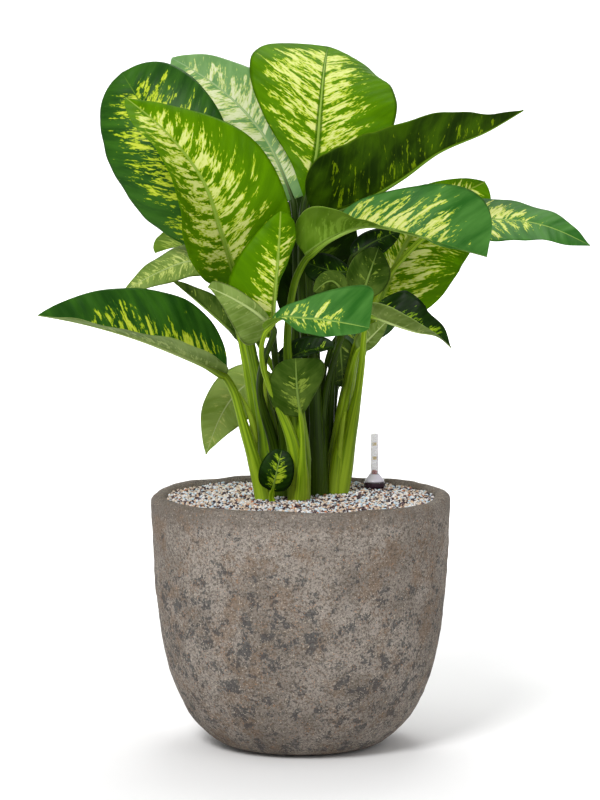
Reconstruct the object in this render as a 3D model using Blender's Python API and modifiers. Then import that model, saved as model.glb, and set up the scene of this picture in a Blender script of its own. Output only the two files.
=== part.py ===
"""Potted dieffenbachia: a variegated house plant in a rounded clay planter.

Metres, +Z up. The origin is the centre of the planter's underside, on the floor.
The plant faces -Y. Every leaf is one solid: its stalk and its blade grow together.
"""
import bpy
import bmesh
import numpy as np

# ---- planter, seen as a turned cup -------------------------------------------------
PLANTER_HEIGHT = 0.297
LIP_RADIUS = 0.1665        # centre line of the rounded lip
LIP_ROUND = 0.0085         # half the wall thickness at the lip
FLOOR_TOP = 0.026          # top of the planter's solid floor
TURN_STEPS = 40
OUTER_SIDE = [(0.1748, 0.262), (0.1725, 0.218), (0.1685, 0.170), (0.1620, 0.117), (0.1530, 0.082),
              (0.1430, 0.058), (0.1290, 0.033), (0.1130, 0.016), (0.0960, 0.004), (0.0800, 0.000)]
INNER_SIDE = [(0.060, 0.0265), (0.102, 0.037), (0.134, 0.075), (0.147, 0.125), (0.154, 0.200),
              (0.1565, 0.262)]

# ---- growing medium ----------------------------------------------------------------
WALL_GAP = 0.0006          # free space between the fill and the planter's wall
SOIL_TOP = 0.276
GRANULE_BOTTOM = 0.2765
GRANULE_TOP = 0.2910
FOOT = 0.2770              # how deep canes and side shoots stand in the granules
HOLE_SLACK = 0.0030        # free space round a cane in the granule layer

# ---- water level gauge -------------------------------------------------------------
GAUGE_X = 0.088
GAUGE_Y = 0.080
GAUGE_STEPS = 24
WELL_RADIUS = 0.0085
WELL_BORE = 0.0072
WELL_BOTTOM = 0.0800
WELL_TOP = 0.2955
WELL_HOLE = 0.0094         # hole left for the well in soil and granules
COLLAR_RADIUS = 0.0128
COLLAR_BOTTOM = 0.2915
COLLAR_TOP = 0.2985
CONE_TOP = 0.3080
TUBE_RADIUS = 0.0044
TUBE_BORE = 0.0036
TUBE_BOTTOM = 0.2992
TUBE_TOP = 0.3575
FLOAT_RADIUS = 0.0062
FLOAT_BOTTOM = 0.0830
FLOAT_TOP = 0.1180
ROD_RADIUS = 0.0009
ROD_TOP = 0.3112
TIP_RADIUS = 0.0022
TIP_BOTTOM = 0.3076
TIP_TOP = 0.3130

# ---- leaves ------------------------------------------------------------------------
BLADE_THICKNESS = 0.0012
MIDRIB_DEPTH = 0.0026      # how far the midrib stands out below the blade at its base
BEND_REACH = 0.012         # length over which a stalk swings round into its midrib
BEND_RINGS = (0.026, 0.0195, 0.014, 0.009, 0.0045)   # rings of the bend, back from the blade
SHORT_STALK = 0.050
NARROWEST = 0.0012
LARGE_ACROSS = 7           # points across a large blade
SMALL_ACROSS = 5
LARGE_ALONG = (0.015, 0.07, 0.20, 0.36, 0.54, 0.71, 0.86, 0.96, 1.0)
SMALL_ALONG = (0.02, 0.12, 0.36, 0.64, 0.88, 1.0)
SMALL_LEAF = 0.13          # a midrib shorter than this makes a small leaf

CANES = [
    # name, foot x and y, top x, y and z, foot radius, top radius
    ("cane_left", -0.0350, 0.027, -0.0370, 0.033, 0.3645, 0.0165, 0.0150),
    ("cane_front", -0.0010, -0.016, 0.0010, -0.041, 0.3715, 0.0125, 0.0120),
    ("cane_mid", -0.0140, 0.010, -0.0170, 0.010, 0.3675, 0.0085, 0.0080),
    ("cane_centre", 0.0210, 0.028, 0.0210, 0.030, 0.4085, 0.0105, 0.0105),
    ("cane_right", 0.0420, 0.042, 0.0520, 0.043, 0.3645, 0.0120, 0.0115),
    ("cane_back_left", -0.0120, 0.082, -0.0160, 0.086, 0.3615, 0.0150, 0.0140),
    ("cane_back_right", 0.0200, 0.092, 0.0200, 0.094, 0.3605, 0.0150, 0.0135),
    ("cane_inner", 0.0370, 0.064, 0.0340, 0.056, 0.3775, 0.0075, 0.0070),
]

LEAVES = []


def leaf(name, stalk, midrib, face, left, right, radii, tone):
    """Note one leaf's design. A side is (width, base fullness, tip fullness, lift at the
    midrib, lift at the margin), lifts in degrees; a list of lifts runs from base to tip."""
    LEAVES.append(dict(name=name, stalk=stalk, midrib=midrib, face=face, left=left,
                       right=right, radii=radii, tone=tone))

leaf("leaf_far_left",
     stalk=[(-0.046, 0.040, 0.365), (-0.052, 0.040, 0.401), (-0.060, 0.042, 0.436),
            (-0.072, 0.046, 0.483), (-0.085, 0.050, 0.536)],
     midrib=[(-0.104, 0.050, 0.581), (-0.130, 0.030, 0.640), (-0.165, 0.030, 0.712),
             (-0.211, 0.070, 0.786)],
     face=[(-0.2, -1, 0.2), (-0.2, -1, 0.3)],
     left=(0.071, 0.5, 0.42, 8, -25),
     right=(0.076, 0.55, 0.4, 10, -20),
     radii=(0.005, 0.004), tone="dark")
leaf("leaf_front_left",
     stalk=[(-0.036, 0.026, 0.365), (-0.046, 0.022, 0.403), (-0.054, 0.017, 0.439),
            (-0.064, 0.010, 0.498)],
     midrib=[(-0.076, 0.000, 0.549), (-0.092, -0.030, 0.602), (-0.113, -0.060, 0.665),
             (-0.154, -0.070, 0.720), (-0.200, -0.060, 0.759)],
     face=[(-0.3, -1, 0.1), (-0.2, -1, 0.3)],
     left=(0.072, 0.5, 0.7, (62, 62, 62, 62, 46), (76, 76, 76, 76, 52)),
     right=(0.087, 0.45, 1.0, (8, 8, 0, -10, -20), (-12, -12, -15, -50, -55)),
     radii=(0.0055, 0.0045), tone="lime")
leaf("leaf_back_left",
     stalk=[(-0.007, 0.084, 0.362), (-0.006, 0.082, 0.420), (-0.005, 0.080, 0.492),
            (-0.006, 0.080, 0.576)],
     midrib=[(-0.009, 0.080, 0.635), (-0.049, 0.120, 0.717), (-0.095, 0.150, 0.764),
             (-0.156, 0.180, 0.802)],
     face=[(0, -1, 0.3), (0, -1, 0.5)],
     left=(0.062, 0.45, 0.65, 10, -10),
     right=(0.056, 0.45, 0.75, 10, -10),
     radii=(0.0048, 0.0034), tone="pale")
leaf("leaf_top_centre",
     stalk=[(0.013, 0.034, 0.409), (0.005, 0.035, 0.461), (0.001, 0.035, 0.531), (0.001, 0.035, 0.590)],
     midrib=[(0.005, 0.040, 0.633), (0.017, 0.050, 0.684), (0.023, 0.090, 0.742), (0.028, 0.140, 0.790),
             (0.033, 0.200, 0.816)],
     face=[(0, -1, 0.1), (0, -1, 0.4), (0, -0.8, 0.8)],
     left=(0.09, 1.1, 0.38, (10, 10, 8), (-18, -14, 0)),
     right=(0.092, 0.6, 0.52, (10, 5, 0), (-18, -20, -35)),
     radii=(0.0055, 0.0045), tone="lime")
leaf("leaf_right_high",
     stalk=[(0.017, 0.020, 0.409), (0.013, 0.018, 0.462), (0.011, 0.014, 0.521), (0.011, 0.012, 0.580)],
     midrib=[(0.013, 0.010, 0.619), (0.059, 0.000, 0.633), (0.115, -0.010, 0.664),
             (0.158, -0.020, 0.695), (0.217, -0.025, 0.721), (0.256, -0.030, 0.744)],
     face=[(-0.4, 0, 1), (-0.3, 0, 1)],
     left=(0.055, 0.45, 1.0, 50, 42),
     right=(0.073, 0.3, 1.0, 78, 70),
     radii=(0.005, 0.004), tone="dark")
leaf("leaf_right_mid",
     stalk=[(-0.006, -0.033, 0.372), (-0.015, -0.027, 0.425), (-0.018, -0.026, 0.470),
            (-0.020, -0.026, 0.494), (-0.015, -0.024, 0.526), (-0.010, -0.022, 0.550)],
     midrib=[(0.005, -0.020, 0.575), (0.034, -0.030, 0.596), (0.070, -0.040, 0.611),
             (0.125, -0.060, 0.604), (0.171, -0.070, 0.590), (0.213, -0.070, 0.578)],
     face=[(0, 0, 1), (0, 0, 1)],
     left=(0.07, 1.3, 0.33, (40, 55, 70, 70), (60, 70, 80, 75)),
     right=(0.048, 0.3, 0.7, (88, 80, 45, 18, 8, 6, 5, 3, 0), (84, 74, 38, 12, 4, 3, 2, 1, 0)),
     radii=(0.0045, 0.0035), tone="blue")
leaf("leaf_right_far",
     stalk=[(0.044, 0.042, 0.365), (0.058, 0.042, 0.412), (0.063, 0.042, 0.478), (0.077, 0.048, 0.519),
            (0.108, 0.058, 0.563), (0.139, 0.066, 0.591)],
     midrib=[(0.165, 0.070, 0.605), (0.220, 0.070, 0.613), (0.282, 0.060, 0.608), (0.340, 0.040, 0.584)],
     face=[(0, -0.25, 1), (0.1, -0.3, 1)],
     left=(0.04, 0.5, 1.0, (20, 26), (14, 14)),
     right=(0.045, 0.5, 0.8, -10, -20),
     radii=(0.0045, 0.0032), tone="blue")
leaf("leaf_right_back",
     stalk=[(0.052, 0.050, 0.365), (0.061, 0.060, 0.405), (0.075, 0.075, 0.463)],
     midrib=[(0.089, 0.080, 0.502), (0.110, 0.090, 0.552), (0.130, 0.105, 0.590), (0.176, 0.145, 0.628),
             (0.224, 0.190, 0.652)],
     face=[(0.1, -1, 0.2), (0.1, -0.9, 0.5)],
     left=(0.045, 0.5, 0.9, (20, 30, 50), (20, 40, 60)),
     right=(0.072, 0.35, 0.55, 10, -12),
     radii=(0.0048, 0.0034), tone="lime")
leaf("leaf_left_low",
     stalk=[(-0.044, -0.006, 0.277), (-0.044, -0.006, 0.294), (-0.051, -0.004, 0.323),
            (-0.069, -0.006, 0.382), (-0.077, -0.007, 0.410)],
     midrib=[(-0.087, -0.010, 0.437), (-0.132, -0.040, 0.460), (-0.196, -0.070, 0.487),
             (-0.258, -0.090, 0.505), (-0.299, -0.100, 0.513)],
     face=[(0, 0, 1), (0, 0, 1)],
     left=(0.052, 0.7, 0.9, (20, 15, 10, 8), (12, 8, 5, 4)),
     right=(0.064, 0.5, 0.85, (75, 78, 70, 55), (80, 78, 70, 55)),
     radii=(0.006, 0.004), tone="dark")
leaf("leaf_left_small",
     stalk=[(-0.021, 0.098, 0.362), (-0.037, 0.108, 0.400), (-0.066, 0.104, 0.454),
            (-0.082, 0.090, 0.515)],
     midrib=[(-0.093, 0.070, 0.560), (-0.131, 0.070, 0.564), (-0.169, 0.060, 0.551),
             (-0.211, 0.050, 0.528)],
     face=[(0, -0.3, 1), (-0.2, -0.3, 0.9)],
     left=(0.024, 0.5, 0.9, -25, -45),
     right=(0.027, 0.5, 1.1, 30, 20),
     radii=(0.004, 0.003), tone="pale")
leaf("leaf_left_inner",
     stalk=[(-0.026, 0.079, 0.362), (-0.045, 0.060, 0.405), (-0.064, 0.062, 0.446)],
     midrib=[(-0.072, 0.070, 0.472), (-0.104, 0.074, 0.500), (-0.153, 0.088, 0.539)],
     face=[(0.5, 0.4, 0.8), (0.3, 0.6, 0.8)],
     left=(0.024, 0.4, 0.8, 30, 20),
     right=(0.026, 0.4, 0.8, 30, 20),
     radii=(0.004, 0.003), tone="dark")
leaf("leaf_centre_curl",
     stalk=[(-0.020, 0.006, 0.368), (-0.023, -0.020, 0.407), (-0.028, -0.046, 0.451)],
     midrib=[(-0.032, -0.060, 0.483), (-0.030, -0.080, 0.525), (-0.026, -0.085, 0.575),
             (-0.023, -0.080, 0.630)],
     face=[(0, -1, 0), (0, -1, 0)],
     left=(0.056, 0.5, 0.85, 15, -15),
     right=(0.025, 3, 0.6, (-40, -42, -42, -28, -10), (-50, -62, -66, -60, -50)),
     radii=(0.0045, 0.0035), tone="lime")
leaf("leaf_front_fold",
     stalk=[(-0.008, -0.044, 0.372), (-0.026, -0.046, 0.402), (-0.041, -0.062, 0.432),
            (-0.049, -0.088, 0.462)],
     midrib=[(-0.041, -0.108, 0.497), (-0.024, -0.115, 0.511), (0.006, -0.123, 0.512),
             (0.040, -0.133, 0.509), (0.077, -0.150, 0.503)],
     face=[(0, -0.3, 1), (0, -0.5, 0.9)],
     left=(0.046, 1.1, 0.12, (40, 60), (45, 65)),
     right=(0.024, 0.5, 0.5, (60, 20, -15, -22, -22, -10), (60, 15, -20, -25, -22, -10)),
     radii=(0.004, 0.003), tone="blue")
leaf("leaf_fold_left",
     stalk=[(-0.032, 0.012, 0.368), (-0.050, -0.020, 0.402), (-0.053, -0.044, 0.434),
            (-0.045, -0.068, 0.466)],
     midrib=[(-0.032, -0.082, 0.497), (-0.051, -0.092, 0.515), (-0.074, -0.096, 0.530),
             (-0.106, -0.094, 0.545)],
     face=[(0, 1, 0), (0, 1, 0)],
     left=(0.012, 0.6, 0.25, 10, 10),
     right=(0.036, 0.25, 1.2, 0, -10),
     radii=(0.0045, 0.0036), tone="pale")
leaf("leaf_right_low",
     stalk=[(0.058, 0.039, 0.365), (0.068, 0.018, 0.415), (0.076, -0.002, 0.464)],
     midrib=[(0.080, -0.020, 0.508), (0.103, -0.040, 0.500), (0.134, -0.050, 0.490),
             (0.158, -0.055, 0.485), (0.173, -0.055, 0.472)],
     face=[(0, 0, 1), (0.3, 0, 1)],
     left=(0.043, 0.5, 1.1, (55, 60, 50), (60, 65, 50)),
     right=(0.032, 0.4, 0.9, (60, 40, 10), (50, 25, 5)),
     radii=(0.0045, 0.0034), tone="dark")
leaf("leaf_low_back_left",
     stalk=[(-0.017, 0.076, 0.362), (-0.023, 0.078, 0.397), (-0.029, 0.081, 0.422)],
     midrib=[(-0.046, 0.086, 0.430), (-0.080, 0.086, 0.401), (-0.113, 0.070, 0.333)],
     face=[(-0.3, -1, 0.2), (-0.4, -1, 0)],
     left=(0.036, 0.5, 1.1, 10, -5),
     right=(0.03, 0.5, 0.9, 10, -5),
     radii=(0.004, 0.003), tone="pale")
leaf("leaf_heart",
     stalk=[(0.002, -0.050, 0.372)],
     midrib=[(0.000, -0.056, 0.392), (-0.004, -0.070, 0.422), (-0.006, -0.080, 0.462)],
     face=[(0, 1, 0.2), (0, 1, 0.2)],
     left=(0.034, 0.9, 0.22, 12, 12),
     right=(0.035, 0.35, 0.45, 12, 12),
     radii=(0.004, 0.003), tone="pale")
leaf("leaf_dark_small",
     stalk=[(-0.015, 0.014, 0.368), (-0.023, 0.010, 0.398), (-0.030, 0.005, 0.426)],
     midrib=[(-0.031, 0.000, 0.443), (-0.001, -0.010, 0.462), (0.039, -0.020, 0.470)],
     face=[(0, -0.4, 1), (0, -0.5, 1)],
     left=(0.018, 0.5, 0.5, (50, 50), 40),
     right=(0.016, 0.5, 0.6, 10, 0),
     radii=(0.0035, 0.0028), tone="dark")
leaf("leaf_base",
     stalk=[(-0.032, -0.036, 0.277), (-0.032, -0.036, 0.288)],
     midrib=[(-0.033, -0.042, 0.304), (-0.028, -0.050, 0.327), (-0.022, -0.045, 0.353)],
     face=[(0, -1, 0.2), (0, -1, 0.2)],
     left=(0.0205, 0.35, 0.45, 10, -5),
     right=(0.0205, 0.35, 0.45, 10, -5),
     radii=(0.004, 0.003), tone="dark")
leaf("leaf_hanging",
     stalk=[(0.024, 0.039, 0.409), (0.029, 0.053, 0.454), (0.033, 0.052, 0.476)],
     midrib=[(0.046, 0.046, 0.475), (0.048, 0.051, 0.447), (0.050, 0.053, 0.415)],
     face=[(0, -1, 0.1), (0, -1, 0)],
     left=(0.019, 0.5, 0.5, 10, -10),
     right=(0.017, 0.5, 0.5, 10, -10),
     radii=(0.0032, 0.0024), tone="dark")
leaf("leaf_right_under",
     stalk=[(0.047, 0.031, 0.365), (0.058, 0.031, 0.414), (0.064, 0.028, 0.443)],
     midrib=[(0.067, 0.024, 0.462), (0.085, 0.024, 0.480), (0.102, 0.026, 0.497)],
     face=[(0, 1, 0.3), (0, 1, 0.3)],
     left=(0.012, 0.5, 0.8, 10, -5),
     right=(0.014, 0.5, 0.8, 10, -5),
     radii=(0.003, 0.0024), tone="pale")
leaf("leaf_inner_right",
     stalk=[(0.027, 0.028, 0.409), (0.040, 0.010, 0.463), (0.057, 0.001, 0.505)],
     midrib=[(0.071, 0.000, 0.527), (0.081, 0.000, 0.557), (0.090, 0.015, 0.582)],
     face=[(0, 1, 0.3), (0, 1, 0.6)],
     left=(0.025, 0.5, 0.6, 10, -30),
     right=(0.028, 0.5, 0.7, 10, -30),
     radii=(0.0035, 0.0028), tone="pale")
leaf("leaf_inner_mid",
     stalk=[(0.035, 0.060, 0.378), (0.044, 0.066, 0.446), (0.054, 0.042, 0.507)],
     midrib=[(0.060, 0.004, 0.555), (0.034, -0.006, 0.558), (0.006, -0.004, 0.567)],
     face=[(0, -0.9, 0.6), (0, -0.9, 0.6)],
     left=(0.0215, 0.5, 0.4, 10, -10),
     right=(0.0205, 0.5, 0.4, 10, -10),
     radii=(0.0032, 0.0026), tone="dark")
leaf("leaf_inner_pale",
     stalk=[(0.033, 0.052, 0.378), (0.037, 0.028, 0.432), (0.044, 0.020, 0.480), (0.048, -0.003, 0.509)],
     midrib=[(0.050, -0.019, 0.533), (0.036, -0.023, 0.547), (0.015, -0.026, 0.534)],
     face=[(0, 1, 0.6), (0, 1, 0.6)],
     left=(0.014, 0.4, 0.6, 10, -10),
     right=(0.016, 0.4, 0.6, 10, -10),
     radii=(0.003, 0.0024), tone="pale")
leaf("leaf_inner_dark",
     stalk=[(0.033, 0.090, 0.361), (0.044, 0.080, 0.445), (0.055, 0.060, 0.518), (0.058, 0.050, 0.552)],
     midrib=[(0.060, 0.044, 0.571), (0.084, 0.044, 0.587), (0.117, 0.050, 0.601)],
     face=[(0, -1, 0.5), (0, -1, 0.5)],
     left=(0.018, 0.4, 0.6, -5, -20),
     right=(0.018, 0.4, 0.6, -5, -20),
     radii=(0.0035, 0.0028), tone="dark")
leaf("leaf_rear_left",
     stalk=[(0.011, 0.096, 0.361), (-0.014, 0.104, 0.405), (-0.046, 0.112, 0.450)],
     midrib=[(-0.066, 0.114, 0.492), (-0.104, 0.160, 0.545), (-0.138, 0.208, 0.572),
             (-0.180, 0.250, 0.562)],
     face=[(0, 0.4, 1), (0, 0.2, 1)],
     left=(0.05, 0.5, 0.7, 25, 15),
     right=(0.048, 0.5, 0.7, 30, 20),
     radii=(0.0045, 0.0035), tone="lime")
leaf("leaf_rear_top",
     stalk=[(0.021, 0.086, 0.361), (0.020, 0.098, 0.406), (0.018, 0.112, 0.446)],
     midrib=[(0.018, 0.122, 0.474), (0.019, 0.136, 0.539), (0.020, 0.154, 0.600), (0.014, 0.200, 0.666)],
     face=[(0, 1, 0.2), (0, 1, 0.6)],
     left=(0.052, 0.35, 0.6, 4, -8),
     right=(0.052, 0.35, 0.6, 4, -8),
     radii=(0.005, 0.004), tone="dark")
leaf("leaf_rear_right",
     stalk=[(0.023, 0.104, 0.361), (0.036, 0.112, 0.399), (0.052, 0.122, 0.429)],
     midrib=[(0.064, 0.132, 0.452), (0.086, 0.190, 0.494), (0.106, 0.256, 0.516), (0.138, 0.326, 0.514)],
     face=[(0, -0.2, 1), (0, 0, 1)],
     left=(0.052, 0.5, 0.7, 20, 10),
     right=(0.055, 0.5, 0.7, 20, 10),
     radii=(0.0045, 0.0035), tone="dark")


# ---- curves and leaf surfaces ------------------------------------------------------
def unit(vectors):
    return vectors / np.linalg.norm(vectors, axis=-1, keepdims=True)


def spline(points, t):
    """Smooth curve through the points; t runs 0..1 by distance."""
    p = np.asarray(points, float)
    t = np.atleast_1d(t)
    steps = np.linalg.norm(np.diff(p, axis=0), axis=1)
    s = np.concatenate([[0.0], np.cumsum(steps)]) / steps.sum()
    slope = np.diff(p, axis=0) / np.diff(s)[:, None]
    tangent = np.zeros_like(p)
    for i in range(1, len(p) - 1):
        share = (s[i + 1] - s[i]) / (s[i + 1] - s[i - 1])
        tangent[i] = slope[i - 1] * share + slope[i] * (1 - share)
    if len(p) > 2:
        tangent[0] = 1.5 * slope[0] - 0.5 * tangent[1]
        tangent[-1] = 1.5 * slope[-1] - 0.5 * tangent[-2]
    else:
        tangent[:] = slope[0]
    i = np.clip(np.searchsorted(s, t, side="right") - 1, 0, len(p) - 2)
    h = (s[i + 1] - s[i])[:, None]
    u = ((t - s[i]) / (s[i + 1] - s[i]))[:, None]
    start = (2 * u ** 3 - 3 * u ** 2 + 1) * p[i] + (u ** 3 - 2 * u ** 2 + u) * h * tangent[i]
    end = (3 * u ** 2 - 2 * u ** 3) * p[i + 1] + (u ** 3 - u ** 2) * h * tangent[i + 1]
    return start + end


def along(values, t):
    """A value, or a list of values spread evenly from base to tip, read at t."""
    values = np.atleast_1d(np.asarray(values, float))
    return np.interp(t, np.linspace(0, 1, len(values)), values)


def outline(t, base, tip):
    """Half-width of a leaf along its midrib, 1 at the widest place."""
    widest = base / (base + tip)
    return (t ** base * (1 - t) ** tip) / (widest ** base * (1 - widest) ** tip)


def blade_frame(design, t):
    """Midrib points, direction, sideways and upward vectors at t."""
    step = 0.001
    middle = spline(design["midrib"], t)
    ahead = unit(spline(design["midrib"], np.clip(t + step, 0, 1))
                 - spline(design["midrib"], np.clip(t - step, 0, 1)))
    faces = np.atleast_2d(np.asarray(design["face"], float))
    toward = np.stack([along(faces[:, axis], t) for axis in range(3)], axis=-1)
    side = unit(np.cross(ahead, toward))
    return middle, ahead, side, np.cross(side, ahead)


def blade_point(design, frame, t, v):
    """Upper surface points and their outward directions at v, -1 left margin .. 1 right."""
    middle, _, side, upward = frame
    width, base, tip, lift_in, lift_out = design["right" if v > 0 else "left"]
    sign = 1.0 if v > 0 else -1.0
    w = np.maximum(width * outline(t, base, tip), NARROWEST)
    start = np.radians(along(lift_in, t))
    bend = np.radians(along(lift_out, t)) - start
    bend = np.where(np.abs(bend) < 1e-4, 1e-4, bend)
    angle = start + bend * abs(v)
    across = w / bend * (np.sin(angle) - np.sin(start))
    rise = w / bend * (np.cos(start) - np.cos(angle))
    point = middle + sign * side * across[:, None] + upward * rise[:, None]
    outward = upward * np.cos(angle)[:, None] - sign * side * np.sin(angle)[:, None]
    return point, (upward if v == 0 else outward)


def blade_rings(design, stations, across):
    """Closed cross-sections of the blade: over the top left to right, back underneath."""
    t = np.asarray(stations, float)
    frame = blade_frame(design, t)
    top = []
    under = []
    for v in np.linspace(-1, 1, across):
        v = 0.0 if abs(v) < 1e-9 else v
        point, outward = blade_point(design, frame, t, v)
        ridge = MIDRIB_DEPTH * (1 - t) ** 1.5 if v == 0 else 0.0
        top.append(point)
        under.append(point - outward * (BLADE_THICKNESS + ridge * np.ones_like(t))[:, None])
    loop = top + under[-2:0:-1]
    return [[column[i] for column in loop] for i in range(len(t))], frame


def stalk_rings(design, frame, count):
    """Round cross-sections from the stalk's flat foot up to just short of the blade."""
    middle, ahead, side, _ = frame
    first = np.asarray(design["midrib"][0], float)
    bend = first - ahead[0] * BEND_REACH
    path = list(design["stalk"]) + [bend, first]
    length = np.linalg.norm(np.diff(np.asarray(path, float), axis=0), axis=1).sum()
    if length < SHORT_STALK:
        t = np.linspace(0, 1 - BEND_RINGS[-1] / length, 5)
    else:
        straight = np.linspace(0, 1 - 0.034 / length, max(3, int(round(length / 0.040)) + 1))
        t = np.concatenate([straight, 1 - np.array(BEND_RINGS) / length])
    stations = len(t)
    centre = spline(path, t)
    step = 0.002
    tangent = unit(spline(path, np.clip(t + step, 0, 1)) - spline(path, np.clip(t - step, 0, 1)))
    tangent[0] = (0, 0, 1)
    radius = np.linspace(design["radii"][0], design["radii"][1], stations)
    across = (count + 2) // 2
    turns = np.concatenate([np.linspace(np.pi, 0, across), -np.linspace(0, np.pi, across)[1:-1]])
    rings = []
    sideways = side[0]
    for i in reversed(range(stations)):
        sideways = unit(sideways - tangent[i] * np.dot(sideways, tangent[i]))
        upward = np.cross(sideways, tangent[i])
        rings.append([centre[i] + radius[i] * (np.cos(a) * sideways + np.sin(a) * upward)
                      for a in turns])
    return rings[::-1]


# ---- building helpers --------------------------------------------------------------
def clear_scene():
    for item in list(bpy.data.objects):
        bpy.data.objects.remove(item, do_unlink=True)


def collection(name, hidden=False):
    group = bpy.data.collections.new(name)
    bpy.context.scene.collection.children.link(group)
    group.hide_render = hidden
    return group


def material(name, colour, roughness, alpha=1.0):
    surface = bpy.data.materials.new(name)
    surface.use_nodes = True
    shader = surface.node_tree.nodes["Principled BSDF"]
    shader.inputs["Base Color"].default_value = (*colour, 1.0)
    shader.inputs["Roughness"].default_value = roughness
    shader.inputs["Alpha"].default_value = alpha
    surface.diffuse_color = (*colour, alpha)
    return surface


def add_object(name, mesh, group, surface, location=(0, 0, 0)):
    item = bpy.data.objects.new(name, mesh)
    item.location = location
    group.objects.link(item)
    if surface:
        mesh.materials.append(surface)
    return item


def turned(name, profile, group, surface, steps, location=(0, 0, 0)):
    """Spin a profile of (radius, height) points about +Z."""
    closed = profile[0] == profile[-1]
    points = profile[:-1] if closed else profile
    edges = [(i, i + 1) for i in range(len(points) - 1)]
    if closed:
        edges.append((len(points) - 1, 0))
    mesh = bpy.data.meshes.new(name)
    mesh.from_pydata([(r, 0.0, z) for r, z in points], edges, [])
    item = add_object(name, mesh, group, surface, location)
    screw = item.modifiers.new("turn", "SCREW")
    screw.axis = "Z"
    screw.steps = steps
    screw.render_steps = steps
    screw.use_merge_vertices = True
    screw.merge_threshold = 0.00001
    screw.use_smooth_shade = True
    return item


def cutter(name, x, y, radius, bottom, top, group):
    mesh = bpy.data.meshes.new(name)
    shape = bmesh.new()
    bmesh.ops.create_cone(shape, cap_ends=True, segments=24, radius1=radius, radius2=radius,
                          depth=top - bottom)
    bmesh.ops.translate(shape, verts=shape.verts, vec=(x, y, (top + bottom) / 2))
    shape.to_mesh(mesh)
    shape.free()
    item = add_object(name, mesh, group, None)
    item.display_type = "WIRE"
    item.hide_render = True
    return item


def cut(item, tool):
    hole = item.modifiers.new(tool.name, "BOOLEAN")
    hole.operation = "DIFFERENCE"
    hole.solver = "EXACT"
    hole.object = tool


# ---- the pieces --------------------------------------------------------------------
def build_planter(group, surface):
    lip = []
    for angle in np.radians(np.linspace(180, 0, 5)):
        lip.append((LIP_RADIUS + LIP_ROUND * np.cos(angle),
                    PLANTER_HEIGHT - LIP_ROUND + LIP_ROUND * np.sin(angle)))
    profile = [(0.0, FLOOR_TOP)] + INNER_SIDE + lip + OUTER_SIDE + [(0.0, 0.0)]
    return turned("planter", profile, group, surface, TURN_STEPS)


def wall_radius(height):
    """Free radius inside the planter at a height."""
    sides = [(z, r) for r, z in INNER_SIDE]
    sides.append((PLANTER_HEIGHT - LIP_ROUND, LIP_RADIUS - LIP_ROUND))
    return float(np.interp(height, [z for z, _ in sides], [r for _, r in sides])) - WALL_GAP


def build_soil(group, surface):
    heights = [z + WALL_GAP for _, z in INNER_SIDE[1:-1]] + [0.262, SOIL_TOP]
    profile = [(0.0, SOIL_TOP)]
    profile += [(wall_radius(z) - WALL_GAP, z) for z in reversed(heights)]
    profile += [(0.059, FLOOR_TOP + 2.5 * WALL_GAP), (0.0, FLOOR_TOP + 2 * WALL_GAP)]
    return turned("soil", profile, group, surface, TURN_STEPS)


def build_granules(group, surface):
    profile = [(0.0, GRANULE_TOP), (wall_radius(GRANULE_TOP), GRANULE_TOP),
               (wall_radius(GRANULE_BOTTOM), GRANULE_BOTTOM), (0.0, GRANULE_BOTTOM)]
    return turned("granules", profile, group, surface, TURN_STEPS)


def build_canes(group, surface):
    for name, foot_x, foot_y, top_x, top_y, top_z, foot_radius, top_radius in CANES:
        mesh = bpy.data.meshes.new(name)
        shape = bmesh.new()
        bmesh.ops.create_cone(shape, cap_ends=True, segments=20, radius1=foot_radius,
                              radius2=top_radius, depth=top_z - FOOT)
        for corner in shape.verts:
            upper = corner.co.z > 0
            corner.co.x += top_x if upper else foot_x
            corner.co.y += top_y if upper else foot_y
            corner.co.z = top_z if upper else FOOT
        for face in shape.faces:
            face.smooth = len(face.verts) == 4
        shape.to_mesh(mesh)
        shape.free()
        add_object(name, mesh, group, surface)


def vein_leads_back(i, count):
    """Whether face i of a ring is split from its far corner, as the veins run. The upper and
    lower surfaces are split alike, so that the thin blade never crosses itself."""
    quarter = (count + 2) // 4
    return i < quarter or quarter * 2 <= i < quarter * 3


def build_leaf(design, group, surface):
    midrib = np.asarray(design["midrib"], float)
    length = np.linalg.norm(np.diff(midrib, axis=0), axis=1).sum()
    small = length < SMALL_LEAF
    rings, frame = blade_rings(design, SMALL_ALONG if small else LARGE_ALONG,
                               SMALL_ACROSS if small else LARGE_ACROSS)
    count = len(rings[0])
    rings = stalk_rings(design, frame, count) + rings
    shape = bmesh.new()
    loops = [[shape.verts.new(point) for point in ring] for ring in rings]
    for lower, upper in zip(loops, loops[1:]):
        for i in range(count):
            j = (i + 1) % count
            if vein_leads_back(i, count):
                halves = ((lower[i], lower[j], upper[i]), (lower[j], upper[j], upper[i]))
            else:
                halves = ((lower[i], lower[j], upper[j]), (lower[i], upper[j], upper[i]))
            for half in halves:
                shape.faces.new(half)
    for end in (loops[0], loops[-1]):
        shape.faces.new(end)
    bmesh.ops.recalc_face_normals(shape, faces=shape.faces)
    for face in shape.faces:
        face.smooth = True
    mesh = bpy.data.meshes.new(design["name"])
    shape.to_mesh(mesh)
    shape.free()
    return add_object(design["name"], mesh, group, surface)


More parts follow.
